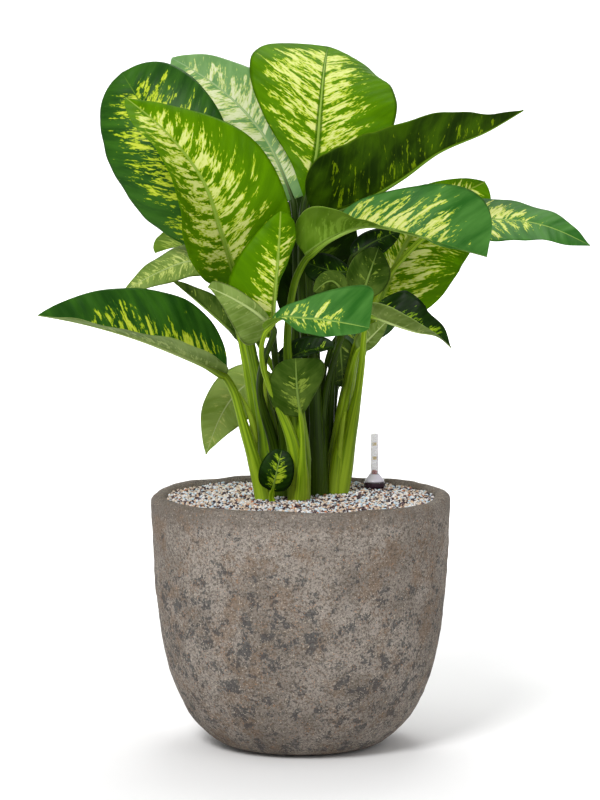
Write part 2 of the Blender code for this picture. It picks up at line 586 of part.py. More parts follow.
def build_gauge(group, clear, collar_paint, float_paint, tip_paint):
    here = (GAUGE_X, GAUGE_Y, 0.0)
    well = [(WELL_BORE, WELL_TOP), (WELL_RADIUS, WELL_TOP), (WELL_RADIUS, WELL_BOTTOM),
            (WELL_BORE, WELL_BOTTOM), (WELL_BORE, WELL_TOP)]
    turned("gauge_well", well, group, clear, GAUGE_STEPS, here)
    bore = WELL_RADIUS + 0.0005
    collar = [(bore, COLLAR_TOP), (COLLAR_RADIUS - 0.0008, COLLAR_TOP),
              (COLLAR_RADIUS, COLLAR_TOP - 0.0008), (COLLAR_RADIUS, COLLAR_BOTTOM),
              (bore, COLLAR_BOTTOM), (bore, COLLAR_TOP)]
    turned("gauge_collar", collar, group, collar_paint, GAUGE_STEPS, here)
    neck = TUBE_RADIUS + 0.0004
    cone = [(neck, CONE_TOP), (0.0056, CONE_TOP), (0.0066, 0.3056), (0.0108, 0.3014),
            (0.0114, 0.3002), (0.0114, COLLAR_TOP + 0.0004), (neck, COLLAR_TOP + 0.0004),
            (neck, CONE_TOP)]
    turned("gauge_cone", cone, group, clear, GAUGE_STEPS, here)
    tube = [(0.0, TUBE_TOP), (TUBE_RADIUS - 0.0006, TUBE_TOP), (TUBE_RADIUS, TUBE_TOP - 0.0006),
            (TUBE_RADIUS, TUBE_BOTTOM), (TUBE_BORE, TUBE_BOTTOM), (TUBE_BORE, TUBE_TOP - 0.001),
            (0.0, TUBE_TOP - 0.001)]
    turned("gauge_tube", tube, group, clear, GAUGE_STEPS, here)
    body = [(0.0, ROD_TOP), (ROD_RADIUS, ROD_TOP), (ROD_RADIUS, FLOAT_TOP + 0.002),
            (FLOAT_RADIUS - 0.001, FLOAT_TOP), (FLOAT_RADIUS, FLOAT_TOP - 0.001),
            (FLOAT_RADIUS, FLOAT_BOTTOM + 0.001), (FLOAT_RADIUS - 0.001, FLOAT_BOTTOM),
            (0.0, FLOAT_BOTTOM)]
    turned("gauge_float", body, group, float_paint, GAUGE_STEPS, here)
    socket = ROD_RADIUS + 0.0004
    tip = [(0.0, TIP_TOP), (TIP_RADIUS - 0.0006, TIP_TOP - 0.0002), (TIP_RADIUS, TIP_TOP - 0.0009),
           (TIP_RADIUS, TIP_BOTTOM), (socket, TIP_BOTTOM), (socket, ROD_TOP + 0.0004),
           (0.0, ROD_TOP + 0.0004)]
    turned("gauge_tip", tip, group, tip_paint, GAUGE_STEPS, here)


def build_holes(soil, granules, tools):
    """Leave room for the gauge's well, the canes and the two side shoots."""
    well = cutter("cut_well", GAUGE_X, GAUGE_Y, WELL_HOLE, WELL_BOTTOM - 0.0015,
                  GRANULE_TOP + 0.01, tools)
    cut(soil, well)
    cut(granules, well)
    feet = []
    for name, foot_x, foot_y, top_x, top_y, top_z, radius, _ in CANES:
        share = (GRANULE_TOP - FOOT) / 2 / (top_z - FOOT)
        feet.append((name, foot_x + (top_x - foot_x) * share, foot_y + (top_y - foot_y) * share,
                     radius))
    for design in LEAVES:
        x, y, z = design["stalk"][0]
        if z < GRANULE_TOP:
            feet.append((design["name"], x, y, design["radii"][0] + 0.001))
    for name, x, y, radius in feet:
        cut(granules, cutter("cut_" + name, x, y, radius + HOLE_SLACK, FOOT - 0.005,
                             GRANULE_TOP + 0.01, tools))


def build():
    clear_scene()
    group = collection("potted dieffenbachia")
    tools = collection("cutters", hidden=True)
    clay = material("clay", (0.20, 0.17, 0.14), 0.95)
    earth = material("soil", (0.05, 0.035, 0.025), 0.95)
    gravel = material("granules", (0.62, 0.58, 0.52), 0.9)
    cane_green = material("cane", (0.22, 0.40, 0.07), 0.5)
    tones = {
        "dark": material("leaf_dark", (0.03, 0.13, 0.03), 0.4),
        "lime": material("leaf_lime", (0.25, 0.42, 0.03), 0.4),
        "blue": material("leaf_blue_green", (0.05, 0.20, 0.11), 0.4),
        "pale": material("leaf_pale", (0.30, 0.40, 0.24), 0.5),
    }
    build_planter(group, clay)
    soil = build_soil(group, earth)
    granules = build_granules(group, gravel)
    build_canes(group, cane_green)
    for design in LEAVES:
        build_leaf(design, group, tones[design["tone"]])
    build_gauge(group, material("gauge_clear", (0.85, 0.87, 0.88), 0.1, 0.35),
                material("gauge_collar", (0.10, 0.05, 0.08), 0.3),
                material("gauge_float", (0.85, 0.85, 0.82), 0.5),
                material("gauge_tip", (0.75, 0.10, 0.03), 0.4))
    build_holes(soil, granules, tools)


build()
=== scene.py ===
"""Potted dieffenbachia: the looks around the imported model.

Metres, +Z up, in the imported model's frame. Every leaf is swept along the same midrib as its
CAD node, with veins, waves and a thinner blade, and carries its own pattern coordinates.
"""
import math
from collections import namedtuple

import bmesh
import bpy
import numpy as np
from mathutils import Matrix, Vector, noise


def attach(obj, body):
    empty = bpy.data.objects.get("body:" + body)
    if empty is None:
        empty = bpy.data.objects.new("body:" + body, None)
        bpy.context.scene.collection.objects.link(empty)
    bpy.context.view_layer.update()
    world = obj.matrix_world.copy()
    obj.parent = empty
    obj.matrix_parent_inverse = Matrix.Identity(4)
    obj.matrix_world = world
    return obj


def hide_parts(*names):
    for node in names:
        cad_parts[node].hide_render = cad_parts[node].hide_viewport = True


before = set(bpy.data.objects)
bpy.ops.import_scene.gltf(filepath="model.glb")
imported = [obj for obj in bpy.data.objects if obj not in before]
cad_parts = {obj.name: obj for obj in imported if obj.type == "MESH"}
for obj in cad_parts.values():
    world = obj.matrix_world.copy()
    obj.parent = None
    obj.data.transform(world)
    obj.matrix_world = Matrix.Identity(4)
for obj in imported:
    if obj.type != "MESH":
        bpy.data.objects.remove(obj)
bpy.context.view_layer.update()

PLANT = "pot_and_plant"
FLOAT = "float"

# ---- blades and stalks -------------------------------------------------------------
BLADE_MIDDLE = 0.0010      # blade thickness beside the midrib
BLADE_EDGE = 0.00035       # blade thickness at the margin
NARROWEST = 0.0012         # half of a blade's width is never less than this
BEND_REACH = 0.012         # length over which a stalk swings round into its midrib
STATION_STEP = 0.0024      # distance between cross-sections of a blade
COLUMN_STEP = 0.0034       # distance between points across a blade
VEIN_SWEEP = 0.55          # how far a side vein runs ahead for each metre away from the midrib
VEIN_CURL = 3.2            # and how much it turns towards the tip on the way
VEIN_PITCH = 0.0135        # distance between side veins
STATIONS = (22, 110)       # fewest and most cross-sections
BLADE_START = 0.004        # share of the midrib before the first of them
TIP_CROWDING = 1.08        # above 1, they come closer together towards the tip
COLUMNS = (5, 20)          # fewest and most points on each side of the midrib
FINE_WIDTH = 0.050         # narrower leaves have finer veins and streaks
WAVE_LENGTHS = (0.075, 0.120)
QUILT_HEIGHT = 0.00048     # height of the soft swellings between side veins
GROOVE_DEPTH = 0.0008      # the groove over the midrib
GROOVE_WIDTH = 0.0021
CREAM_CENTRE = 0.16        # the cream is densest this far out (1 is the margin)
STALK_SIDES = 20           # points around a stalk
STALK_STEP = 0.006         # distance between its rings
SHEATH_END = 0.70          # share of a stalk's length over which its sheath narrows
SHOOT_FLARE = 1.25         # the foot of a stalk is this much thicker, where no cane carries it
WIDEST_FLARE = 2.5         # and at most this much where one does
LARGE_LEAF = 0.05          # a leaf is large when one of its sides is wider than this
STALK_SWELL = 1.2          # a living stalk of a large leaf is this much thicker than its CAD core
CREAM_FADE = (0.84, 1.02)  # shares of a leaf's length between which the cream dies out

LEAVES = []


def metres(lengths):
    """Lengths given in millimetres."""
    return tuple(length / 1000 for length in lengths)


def leaf(short, tone, radii, pattern, stalk, midrib, face, left, right, looks=None,
         fade=CREAM_FADE, dark_stalk=False):
    """Note one leaf's design; every length here is in millimetres.

    radii: the stalk's, at its foot and at the blade. pattern: amount of cream near the midrib, how
    far it reaches out on the left and right (1 is the margin), and how much the margin waves.
    A side is (width, base fullness, tip fullness, lift at the midrib, lift at the margin), lifts
    in degrees; a list of lifts runs from base to tip. looks: upper and under look, where they
    differ from the tone. dark_stalk: stalks in the middle of the plant get the dark greens, a
    painted shade for the shade that the leaves around them cast.
    """
    LEAVES.append(dict(name="leaf_" + short, tone=tone, looks=looks or (tone, tone), fade=fade,
                       radii=metres(radii), pattern=(*pattern[:3], pattern[3] / 1000),
                       stalk=[metres(point) for point in stalk],
                       midrib=[metres(point) for point in midrib], face=face,
                       left=(left[0] / 1000, *left[1:]), right=(right[0] / 1000, *right[1:]),
                       dark_stalk=dark_stalk))


leaf("far_left", "dark", (5, 4), (0.51, 0.66, 0.66, 0.9),
     stalk=[(-46, 40, 365), (-52, 40, 401), (-60, 42, 436), (-72, 46, 483), (-85, 50, 536)],
     midrib=[(-104, 50, 581), (-130, 30, 640), (-165, 30, 712), (-211, 70, 786)],
     face=[(-0.2, -1, 0.2), (-0.2, -1, 0.3)], left=(71, 0.5, 0.42, 8, -25), right=(76, 0.55, 0.4, 10, -20))
leaf("front_left", "lime", (5.5, 4.5), (0.7, 0.82, 0.6, 0.9),
     stalk=[(-36, 26, 365), (-46, 22, 403), (-54, 17, 439), (-64, 10, 498)],
     midrib=[(-76, 0, 549), (-92, -30, 602), (-113, -60, 665), (-154, -70, 720), (-200, -60, 759)],
     face=[(-0.3, -1, 0.1), (-0.2, -1, 0.3)],
     left=(72, 0.5, 0.7, (62, 62, 62, 62, 46), (76, 76, 76, 76, 52)),
     right=(87, 0.45, 1, (8, 8, 0, -10, -20), (-12, -12, -15, -50, -55)), looks=("spring", "lime"))
leaf("back_left", "pale", (4.8, 3.4), (0.7, 0.75, 0.8, 1.5),
     stalk=[(-7, 84, 362), (-6, 82, 420), (-5, 80, 492), (-6, 80, 576)],
     midrib=[(-9, 80, 635), (-49, 120, 717), (-95, 150, 764), (-156, 180, 802)],
     face=[(0, -1, 0.3), (0, -1, 0.5)], left=(62, 0.45, 0.65, 10, -10), right=(56, 0.45, 0.75, 10, -10),
     dark_stalk=True)
leaf("top_centre", "lime", (5.5, 4.5), (0.7, 0.76, 0.54, 1.8),
     stalk=[(13, 34, 409), (5, 35, 461), (1, 35, 531), (1, 35, 590)],
     midrib=[(5, 40, 633), (17, 50, 684), (23, 90, 742), (28, 140, 790), (33, 200, 816)],
     face=[(0, -1, 0.1), (0, -1, 0.4), (0, -0.8, 0.8)], left=(90, 1.1, 0.38, (10, 10, 8), (-18, -14, 0)),
     right=(92, 0.6, 0.52, (10, 5, 0), (-18, -20, -35)), dark_stalk=True)
leaf("right_high", "dark", (5, 4), (0.38, 0.62, 0.55, 3.2),
     stalk=[(17, 20, 409), (13, 18, 462), (11, 14, 521), (11, 12, 580)],
     midrib=[(13, 10, 619), (59, 0, 633), (115, -10, 664), (158, -20, 695), (217, -25, 721),
             (256, -30, 744)],
     face=[(-0.4, 0, 1), (-0.3, 0, 1)], left=(55, 0.45, 1, 50, 42), right=(73, 0.3, 1, 78, 70),
     dark_stalk=True)
leaf("right_mid", "blue", (4.5, 3.5), (0.64, 0.8, 0.66, 1.8),
     stalk=[(-6, -33, 372), (-15, -27, 425), (-18, -26, 470), (-20, -26, 494), (-15, -24, 526),
            (-10, -22, 550)],
     midrib=[(5, -20, 575), (34, -30, 596), (70, -40, 611), (125, -60, 604), (171, -70, 590),
             (213, -70, 578)],
     face=[(0, 0, 1), (0, 0, 1)], left=(70, 1.3, 0.33, (40, 55, 70, 70), (60, 70, 80, 75)),
     right=(48, 0.3, 0.7, (88, 80, 45, 18, 8, 6, 5, 3, 0), (84, 74, 38, 12, 4, 3, 2, 1, 0)),
     fade=(0.7, 0.95))
leaf("right_far", "blue", (4.5, 3.2), (0.76, 0.76, 0.76, 1.8),
     stalk=[(44, 42, 365), (58, 42, 412), (63, 42, 478), (77, 48, 519), (108, 58, 563), (139, 66, 591)],
     midrib=[(165, 70, 605), (220, 70, 613), (282, 60, 608), (340, 40, 584)],
     face=[(0, -0.25, 1), (0.1, -0.3, 1)], left=(40, 0.5, 1, (20, 26), (14, 14)),
     right=(45, 0.5, 0.8, -10, -20), fade=(0.4, 0.8))
leaf("right_back", "lime", (4.8, 3.4), (0.68, 0.75, 0.75, 1.5),
     stalk=[(52, 50, 365), (61, 60, 405), (75, 75, 463)],
     midrib=[(89, 80, 502), (110, 90, 552), (130, 105, 590), (176, 145, 628), (224, 190, 652)],
     face=[(0.1, -1, 0.2), (0.1, -0.9, 0.5)], left=(45, 0.5, 0.9, (20, 30, 50), (20, 40, 60)),
     right=(72, 0.35, 0.55, 10, -12), looks=("spring", "lime"))
leaf("left_low", "dark", (6, 4), (0.62, 0.46, 0.48, 1.4),
     stalk=[(-44, -6, 277), (-44, -6, 294), (-51, -4, 323), (-69, -6, 382), (-77, -7, 410)],
     midrib=[(-87, -10, 437), (-132, -40, 460), (-196, -70, 487), (-258, -90, 505), (-299, -100, 513)],
     face=[(0, 0, 1), (0, 0, 1)], left=(52, 0.7, 0.9, (20, 15, 10, 8), (12, 8, 5, 4)),
     right=(64, 0.5, 0.85, (75, 78, 70, 55), (80, 78, 70, 55)), looks=("dark", "sage"), fade=(0.6, 0.96))
leaf("left_small", "pale", (4, 3), (0.5, 0.7, 0.75, 1.8),
     stalk=[(-21, 98, 362), (-37, 108, 400), (-66, 104, 454), (-82, 90, 515)],
     midrib=[(-93, 70, 560), (-131, 70, 564), (-169, 60, 551), (-211, 50, 528)],
     face=[(0, -0.3, 1), (-0.2, -0.3, 0.9)], left=(24, 0.5, 0.9, -25, -45), right=(27, 0.5, 1.1, 30, 20),
     looks=("sage", "sage"), dark_stalk=True)
leaf("left_inner", "dark", (4, 3), (0.15, 0.5, 0.5, 1.5),
     stalk=[(-26, 79, 362), (-45, 60, 405), (-64, 62, 446)],
     midrib=[(-72, 70, 472), (-104, 74, 500), (-153, 88, 539)],
     face=[(0.5, 0.4, 0.8), (0.3, 0.6, 0.8)], left=(24, 0.4, 0.8, 30, 20), right=(26, 0.4, 0.8, 30, 20),
     looks=("shade", "shade"), dark_stalk=True)
leaf("centre_curl", "lime", (4.5, 3.5), (0.55, 0.48, 0.7, 1),
     stalk=[(-20, 6, 368), (-23, -20, 407), (-28, -46, 451)],
     midrib=[(-32, -60, 483), (-30, -80, 525), (-26, -85, 575), (-23, -80, 630)],
     face=[(0, -1, 0), (0, -1, 0)], left=(56, 0.5, 0.85, 15, -15),
     right=(25, 3, 0.6, (-40, -42, -42, -28, -10), (-50, -62, -66, -60, -50)), looks=("spring", "lime"),
     dark_stalk=True)
leaf("front_fold", "blue", (4, 3), (0.52, 0.62, 0.6, 1.2),
     stalk=[(-8, -44, 372), (-26, -46, 402), (-41, -62, 432), (-49, -88, 462)],
     midrib=[(-41, -108, 497), (-24, -115, 511), (6, -123, 512), (40, -133, 509), (77, -150, 503)],
     face=[(0, -0.3, 1), (0, -0.5, 0.9)], left=(46, 1.1, 0.12, (40, 60), (45, 65)),
     right=(24, 0.5, 0.5, (60, 20, -15, -22, -22, -10), (60, 15, -20, -25, -22, -10)), fade=(0.6, 0.9))
leaf("fold_left", "pale", (4.5, 3.6), (0.2, 0.6, 0.6, 1),
     stalk=[(-32, 12, 368), (-50, -20, 402), (-53, -44, 434), (-45, -68, 466)],
     midrib=[(-32, -82, 497), (-51, -92, 515), (-74, -96, 530), (-106, -94, 545)],
     face=[(0, 1, 0), (0, 1, 0)], left=(12, 0.6, 0.25, 10, 10), right=(36, 0.25, 1.2, 0, -10),
     looks=("sage", "sage"), dark_stalk=True)
leaf("right_low", "dark", (4.5, 3.4), (0.4, 0.6, 0.6, 1.5),
     stalk=[(58, 39, 365), (68, 18, 415), (76, -2, 464)],
     midrib=[(80, -20, 508), (103, -40, 500), (134, -50, 490), (158, -55, 485), (173, -55, 472)],
     face=[(0, 0, 1), (0.3, 0, 1)], left=(43, 0.5, 1.1, (55, 60, 50), (60, 65, 50)),
     right=(32, 0.4, 0.9, (60, 40, 10), (50, 25, 5)), looks=("night", "sage"))
leaf("low_back_left", "pale", (4, 3), (0.3, 0.6, 0.6, 1.5),
     stalk=[(-17, 76, 362), (-23, 78, 397), (-29, 81, 422)],
     midrib=[(-46, 86, 430), (-80, 86, 401), (-113, 70, 333)],
     face=[(-0.3, -1, 0.2), (-0.4, -1, 0)], left=(36, 0.5, 1.1, 10, -5), right=(30, 0.5, 0.9, 10, -5),
     looks=("fresh", "fresh"))
leaf("heart", "pale", (4, 3), (0.58, 0.42, 0.42, 0.8),
     stalk=[(2, -50, 372)],
     midrib=[(0, -56, 392), (-4, -70, 422), (-6, -80, 462)],
     face=[(0, 1, 0.2), (0, 1, 0.2)], left=(34, 0.9, 0.22, 12, 12), right=(35, 0.35, 0.45, 12, 12),
     looks=("shade", "shade"), fade=(0.6, 0.9))
leaf("dark_small", "dark", (3.5, 2.8), (0.22, 0.5, 0.5, 0.8),
     stalk=[(-15, 14, 368), (-23, 10, 398), (-30, 5, 426)],
     midrib=[(-31, 0, 443), (-1, -10, 462), (39, -20, 470)],
     face=[(0, -0.4, 1), (0, -0.5, 1)], left=(18, 0.5, 0.5, (50, 50), 40), right=(16, 0.5, 0.6, 10, 0),
     looks=("night", "night"), dark_stalk=True)
leaf("base", "dark", (4, 3), (0.58, 0.4, 0.4, 0.6),
     stalk=[(-32, -36, 277), (-32, -36, 288)],
     midrib=[(-33, -42, 304), (-28, -50, 327), (-22, -45, 353)],
     face=[(0, -1, 0.2), (0, -1, 0.2)], left=(20.5, 0.35, 0.45, 10, -5), right=(20.5, 0.35, 0.45, 10, -5),
     looks=("night", "shade"))
leaf("hanging", "dark", (3.2, 2.4), (0.2, 0.5, 0.5, 0.6),
     stalk=[(24, 39, 409), (29, 53, 454), (33, 52, 476)],
     midrib=[(46, 46, 475), (48, 51, 447), (50, 53, 415)],
     face=[(0, -1, 0.1), (0, -1, 0)], left=(19, 0.5, 0.5, 10, -10), right=(17, 0.5, 0.5, 10, -10),
     looks=("shade", "shade"), dark_stalk=True)
leaf("right_under", "pale", (3, 2.4), (0.3, 0.6, 0.6, 0.8),
     stalk=[(47, 31, 365), (58, 31, 414), (64, 28, 443)],
     midrib=[(67, 24, 462), (85, 24, 480), (102, 26, 497)],
     face=[(0, 1, 0.3), (0, 1, 0.3)], left=(12, 0.5, 0.8, 10, -5), right=(14, 0.5, 0.8, 10, -5),
     looks=("sage", "sage"))
leaf("inner_right", "pale", (3.5, 2.8), (0.35, 0.5, 0.5, 1.2),
     stalk=[(27, 28, 409), (40, 10, 463), (57, 1, 505)],
     midrib=[(71, 0, 527), (81, 0, 557), (90, 15, 582)],
     face=[(0, 1, 0.3), (0, 1, 0.6)], left=(25, 0.5, 0.6, 10, -30), right=(28, 0.5, 0.7, 10, -30),
     looks=("shade", "shade"), dark_stalk=True)
leaf("inner_mid", "dark", (3.2, 2.6), (0.2, 0.5, 0.5, 1),
     stalk=[(35, 60, 378), (44, 66, 446), (54, 42, 507)],
     midrib=[(60, 4, 555), (34, -6, 558), (6, -4, 567)],
     face=[(0, -0.9, 0.6), (0, -0.9, 0.6)], left=(21.5, 0.5, 0.4, 10, -10), right=(20.5, 0.5, 0.4, 10, -10),
     looks=("night", "night"), dark_stalk=True)
leaf("inner_pale", "pale", (3, 2.4), (0.2, 0.6, 0.6, 0.8),
     stalk=[(33, 52, 378), (37, 28, 432), (44, 20, 480), (48, -3, 509)],
     midrib=[(50, -19, 533), (36, -23, 547), (15, -26, 534)],
     face=[(0, 1, 0.6), (0, 1, 0.6)], left=(14, 0.4, 0.6, 10, -10), right=(16, 0.4, 0.6, 10, -10),
     looks=("shade", "shade"), dark_stalk=True)
leaf("inner_dark", "dark", (3.5, 2.8), (0.15, 0.5, 0.5, 0.8),
     stalk=[(33, 90, 361), (44, 80, 445), (55, 60, 518), (58, 50, 552)],
     midrib=[(60, 44, 571), (84, 44, 587), (117, 50, 601)],
     face=[(0, -1, 0.5), (0, -1, 0.5)], left=(18, 0.4, 0.6, -5, -20), right=(18, 0.4, 0.6, -5, -20),
     looks=("night", "night"), dark_stalk=True)
leaf("rear_left", "lime", (4.5, 3.5), (0.72, 0.75, 0.75, 1.6),
     stalk=[(11, 96, 361), (-14, 104, 405), (-46, 112, 450)],
     midrib=[(-66, 114, 492), (-104, 160, 545), (-138, 208, 572), (-180, 250, 562)],
     face=[(0, 0.4, 1), (0, 0.2, 1)], left=(50, 0.5, 0.7, 25, 15), right=(48, 0.5, 0.7, 30, 20))
leaf("rear_top", "dark", (5, 4), (0.2, 0.6, 0.6, 2),
     stalk=[(21, 86, 361), (20, 98, 406), (18, 112, 446)],
     midrib=[(18, 122, 474), (19, 136, 539), (20, 154, 600), (14, 200, 666)],
     face=[(0, 1, 0.2), (0, 1, 0.6)], left=(52, 0.35, 0.6, 4, -8), right=(52, 0.35, 0.6, 4, -8),
     looks=("dark", "night"), dark_stalk=True)
leaf("rear_right", "dark", (4.5, 3.5), (0.62, 0.7, 0.7, 1.8),
     stalk=[(23, 104, 361), (36, 112, 399), (52, 122, 429)],
     midrib=[(64, 132, 452), (86, 190, 494), (106, 256, 516), (138, 326, 514)],
     face=[(0, -0.2, 1), (0, 0, 1)], left=(52, 0.5, 0.7, 20, 10), right=(55, 0.5, 0.7, 20, 10))


# ---- canes -------------------------------------------------------------------------
CANE_SIDES = 32            # points around a cane
CANE_RINGS = 60            # rings from its foot to its growing point
SCAR_PITCH = 0.021         # distance between the rings that old leaves left
SCAR_WIDTH = 0.0016        # half of one such ring's height
Cane = namedtuple("Cane", "foot_x foot_y top_x top_y top_z foot_radius top_radius")
CANES = {
    "cane_left": Cane(-0.0350, 0.027, -0.0370, 0.033, 0.3645, 0.0165, 0.0150),
    "cane_front": Cane(-0.0010, -0.016, 0.0010, -0.041, 0.3715, 0.0125, 0.0120),
    "cane_mid": Cane(-0.0140, 0.010, -0.0170, 0.010, 0.3675, 0.0085, 0.0080),
    "cane_centre": Cane(0.0210, 0.028, 0.0210, 0.030, 0.4085, 0.0105, 0.0105),
    "cane_right": Cane(0.0420, 0.042, 0.0520, 0.043, 0.3645, 0.0120, 0.0115),
    "cane_back_left": Cane(-0.0120, 0.082, -0.0160, 0.086, 0.3615, 0.0150, 0.0140),
    "cane_back_right": Cane(0.0200, 0.092, 0.0200, 0.094, 0.3605, 0.0150, 0.0135),
    "cane_inner": Cane(0.0370, 0.064, 0.0340, 0.056, 0.3775, 0.0075, 0.0070),
}
CANE_FOOT = 0.2865         # canes go down to this height, inside the granule layer
# These canes take the dark greens: a painted shade for the shade that the leaves cast on them.
DARK_CANES = ("cane_centre", "cane_mid", "cane_inner", "cane_back_left", "cane_back_right")
CANE_BUD = 0.050           # the growing point rises this far, inside the sheaths

# ---- planter, as a turned profile of (radius, height) ------------------------------
PLANTER_HEIGHT = 0.297
LIP_RADIUS = 0.1665        # of the circle along the top of the lip
LIP_ROUND = 0.0085         # half of the lip's thickness
FLOOR_TOP = 0.026          # inside, at the middle
OUTER_SIDE = [(0.1748, 0.262), (0.1725, 0.218), (0.1685, 0.170), (0.1620, 0.117), (0.1530, 0.082),
              (0.1430, 0.058), (0.1290, 0.033), (0.1130, 0.016), (0.0960, 0.004), (0.0800, 0.000)]
INNER_SIDE = [(0.060, 0.0265), (0.102, 0.037), (0.134, 0.075), (0.147, 0.125), (0.154, 0.200),
              (0.1565, 0.262)]
PLANTER_STEPS = 320        # points around
DENT_HEIGHT = 0.0015       # soft dents of the wall
SKIN_HEIGHT = 0.00060      # its rough skin

# ---- granules ----------------------------------------------------------------------
GRANULE_TOP = 0.2910
GRANULE_BOTTOM = 0.2765
GRANULE_COUNT = 6600       # on the whole surface, before the canes' places are left out
GRANULE_SIZES = (0.0028, 0.0056)   # smallest and largest, across
BED_STEPS = 96             # points around the dark bed under the loose stones
BED_TOP = GRANULE_TOP - 0.0022

# ---- water level gauge -------------------------------------------------------------
GAUGE_X = 0.088
GAUGE_Y = 0.080
GAUGE_STEPS = 64           # points around
COLLAR_RADIUS = 0.0128
COLLAR_BOTTOM = 0.2915
COLLAR_TOP = 0.2985
GRIP_GROOVES = 16          # shallow finger grooves around the collar
GRIP_DEPTH = 0.00022
CONE_TOP = 0.3080
TUBE_RADIUS = 0.0050
TUBE_BORE = 0.0044
TUBE_BOTTOM = 0.2992
TUBE_TOP = 0.3575
WELL_RADIUS = 0.0085
TIP_RADIUS = 0.0031
TIP_BOTTOM = 0.3076
TIP_TOP = 0.3130
LEVEL_MARKS = (0.3278, 0.3447)     # heights of the two printed marks
MARK_BARS = ((0.0010, 0.55), (-0.0002, 0.30), (-0.0014, 0.55))     # each bar's rise and half turn
BAR_STEPS = 12
BAR_HALF_HEIGHT = 0.00040


# ---- curves and leaf surfaces ------------------------------------------------------
def unit(vectors):
    return vectors / np.linalg.norm(vectors, axis=-1, keepdims=True)


def path_length(points):
    return np.linalg.norm(np.diff(np.asarray(points, float), axis=0), axis=1).sum()


def between(start, end, share):
    return start + (end - start) * share


def mirrored(turn):
    """An angle 0..2 pi, folded so that both halves of a ring carry the same values."""
    return turn if turn <= np.pi else 2 * np.pi - turn


def spline(points, t):
    """Smooth curve through the points; t runs 0..1 by distance."""
    p = np.asarray(points, float)
    t = np.atleast_1d(t)
    steps = np.linalg.norm(np.diff(p, axis=0), axis=1)
    s = np.concatenate([[0.0], np.cumsum(steps)]) / steps.sum()
    slope = np.diff(p, axis=0) / np.diff(s)[:, None]
    tangent = np.zeros_like(p)
    for i in range(1, len(p) - 1):
        share = (s[i + 1] - s[i]) / (s[i + 1] - s[i - 1])
        tangent[i] = slope[i - 1] * share + slope[i] * (1 - share)
    if len(p) > 2:
        tangent[0] = 1.5 * slope[0] - 0.5 * tangent[1]
        tangent[-1] = 1.5 * slope[-1] - 0.5 * tangent[-2]
    else:
        tangent[:] = slope[0]
    i = np.clip(np.searchsorted(s, t, side="right") - 1, 0, len(p) - 2)
    h = (s[i + 1] - s[i])[:, None]
    u = ((t - s[i]) / (s[i + 1] - s[i]))[:, None]
    start = (2 * u ** 3 - 3 * u ** 2 + 1) * p[i] + (u ** 3 - 2 * u ** 2 + u) * h * tangent[i]
    end = (3 * u ** 2 - 2 * u ** 3) * p[i + 1] + (u ** 3 - u ** 2) * h * tangent[i + 1]
    return start + end


def along(values, t):
    """A value, or a list of values spread evenly from base to tip, read at t."""
    values = np.atleast_1d(np.asarray(values, float))
    return np.interp(t, np.linspace(0, 1, len(values)), values)


def smooth(low, high, x):
    """0 below low, 1 above high, and a smooth step between."""
    u = np.clip((x - low) / (high - low), 0, 1)
    return u * u * (3 - 2 * u)


def outline(t, base, tip):
    """Half-width of a leaf along its midrib, 1 at the widest place."""
    widest = base / (base + tip)
    return (t ** base * (1 - t) ** tip) / (widest ** base * (1 - widest) ** tip)


def blade_frame(design, t):
    """Midrib points, direction, sideways and upward vectors at t."""
    step = 0.001
    middle = spline(design["midrib"], t)
    ahead = unit(spline(design["midrib"], np.clip(t + step, 0, 1))
                 - spline(design["midrib"], np.clip(t - step, 0, 1)))
    faces = np.atleast_2d(np.asarray(design["face"], float))
    toward = np.stack([along(faces[:, axis], t) for axis in range(3)], axis=-1)
    side = unit(np.cross(ahead, toward))
    return middle, ahead, side, np.cross(side, ahead)


def blade_point(design, frame_at, t, v):
    """Upper surface points, outward directions and half-widths at v, -1 left .. 1 right."""
    middle, _, side, upward = frame_at
    width, base, tip, lift_in, lift_out = design["right" if v > 0 else "left"]
    sign = 1.0 if v > 0 else -1.0
    w = np.maximum(width * outline(t, base, tip), NARROWEST)
    start = np.radians(along(lift_in, t))
    bend = np.radians(along(lift_out, t)) - start
    bend = np.where(np.abs(bend) < 1e-4, 1e-4, bend)
    angle = start + bend * abs(v)
    across = w / bend * (np.sin(angle) - np.sin(start))
    rise = w / bend * (np.cos(start) - np.cos(angle))
    point = middle + sign * side * across[:, None] + upward * rise[:, None]
    outward = upward * np.cos(angle)[:, None] - sign * side * np.sin(angle)[:, None]
    return point, (upward if v == 0 else outward), w


# ---- mesh helpers ------------------------------------------------------------------
def face_outwards(piece):
    shape = bmesh.new()
    shape.from_mesh(piece.data)
    bmesh.ops.recalc_face_normals(shape, faces=shape.faces)
    shape.to_mesh(piece.data)
    shape.free()


def placed(name, data):
    item = bpy.data.objects.new(name, data)
    bpy.context.scene.collection.objects.link(item)
    return item


def new_piece(name, points, faces, paints, body, nodes=(), flat=False):
    """A mesh piece that rides on a body and stands for the named CAD nodes."""
    mesh = bpy.data.meshes.new(name)
    mesh.from_pydata([tuple(p) for p in points], [], faces)
    for paint in paints:
        mesh.materials.append(paint)
    mesh.polygons.foreach_set("use_smooth", [not flat] * len(mesh.polygons))
    item = placed(name, mesh)
    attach(item, body)
    if nodes:
        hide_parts(*nodes)
    return item


def set_vectors(mesh, name, values):
    found = mesh.attributes.new(name, "FLOAT_VECTOR", "POINT")
    found.data.foreach_set("vector", np.asarray(values, np.float32).ravel())


def green_piece(name, points, faces, paints, veins, tones, nodes=(), kinds=None):
    """A leaf, a sheath or a cane, with the values that its paints read at each point."""
    piece = new_piece(name, points, faces, paints, PLANT, nodes)
    if kinds is not None:
        piece.data.polygons.foreach_set("material_index", kinds)
    set_vectors(piece.data, "vein", veins)
    set_vectors(piece.data, "tone", tones)
    face_outwards(piece)


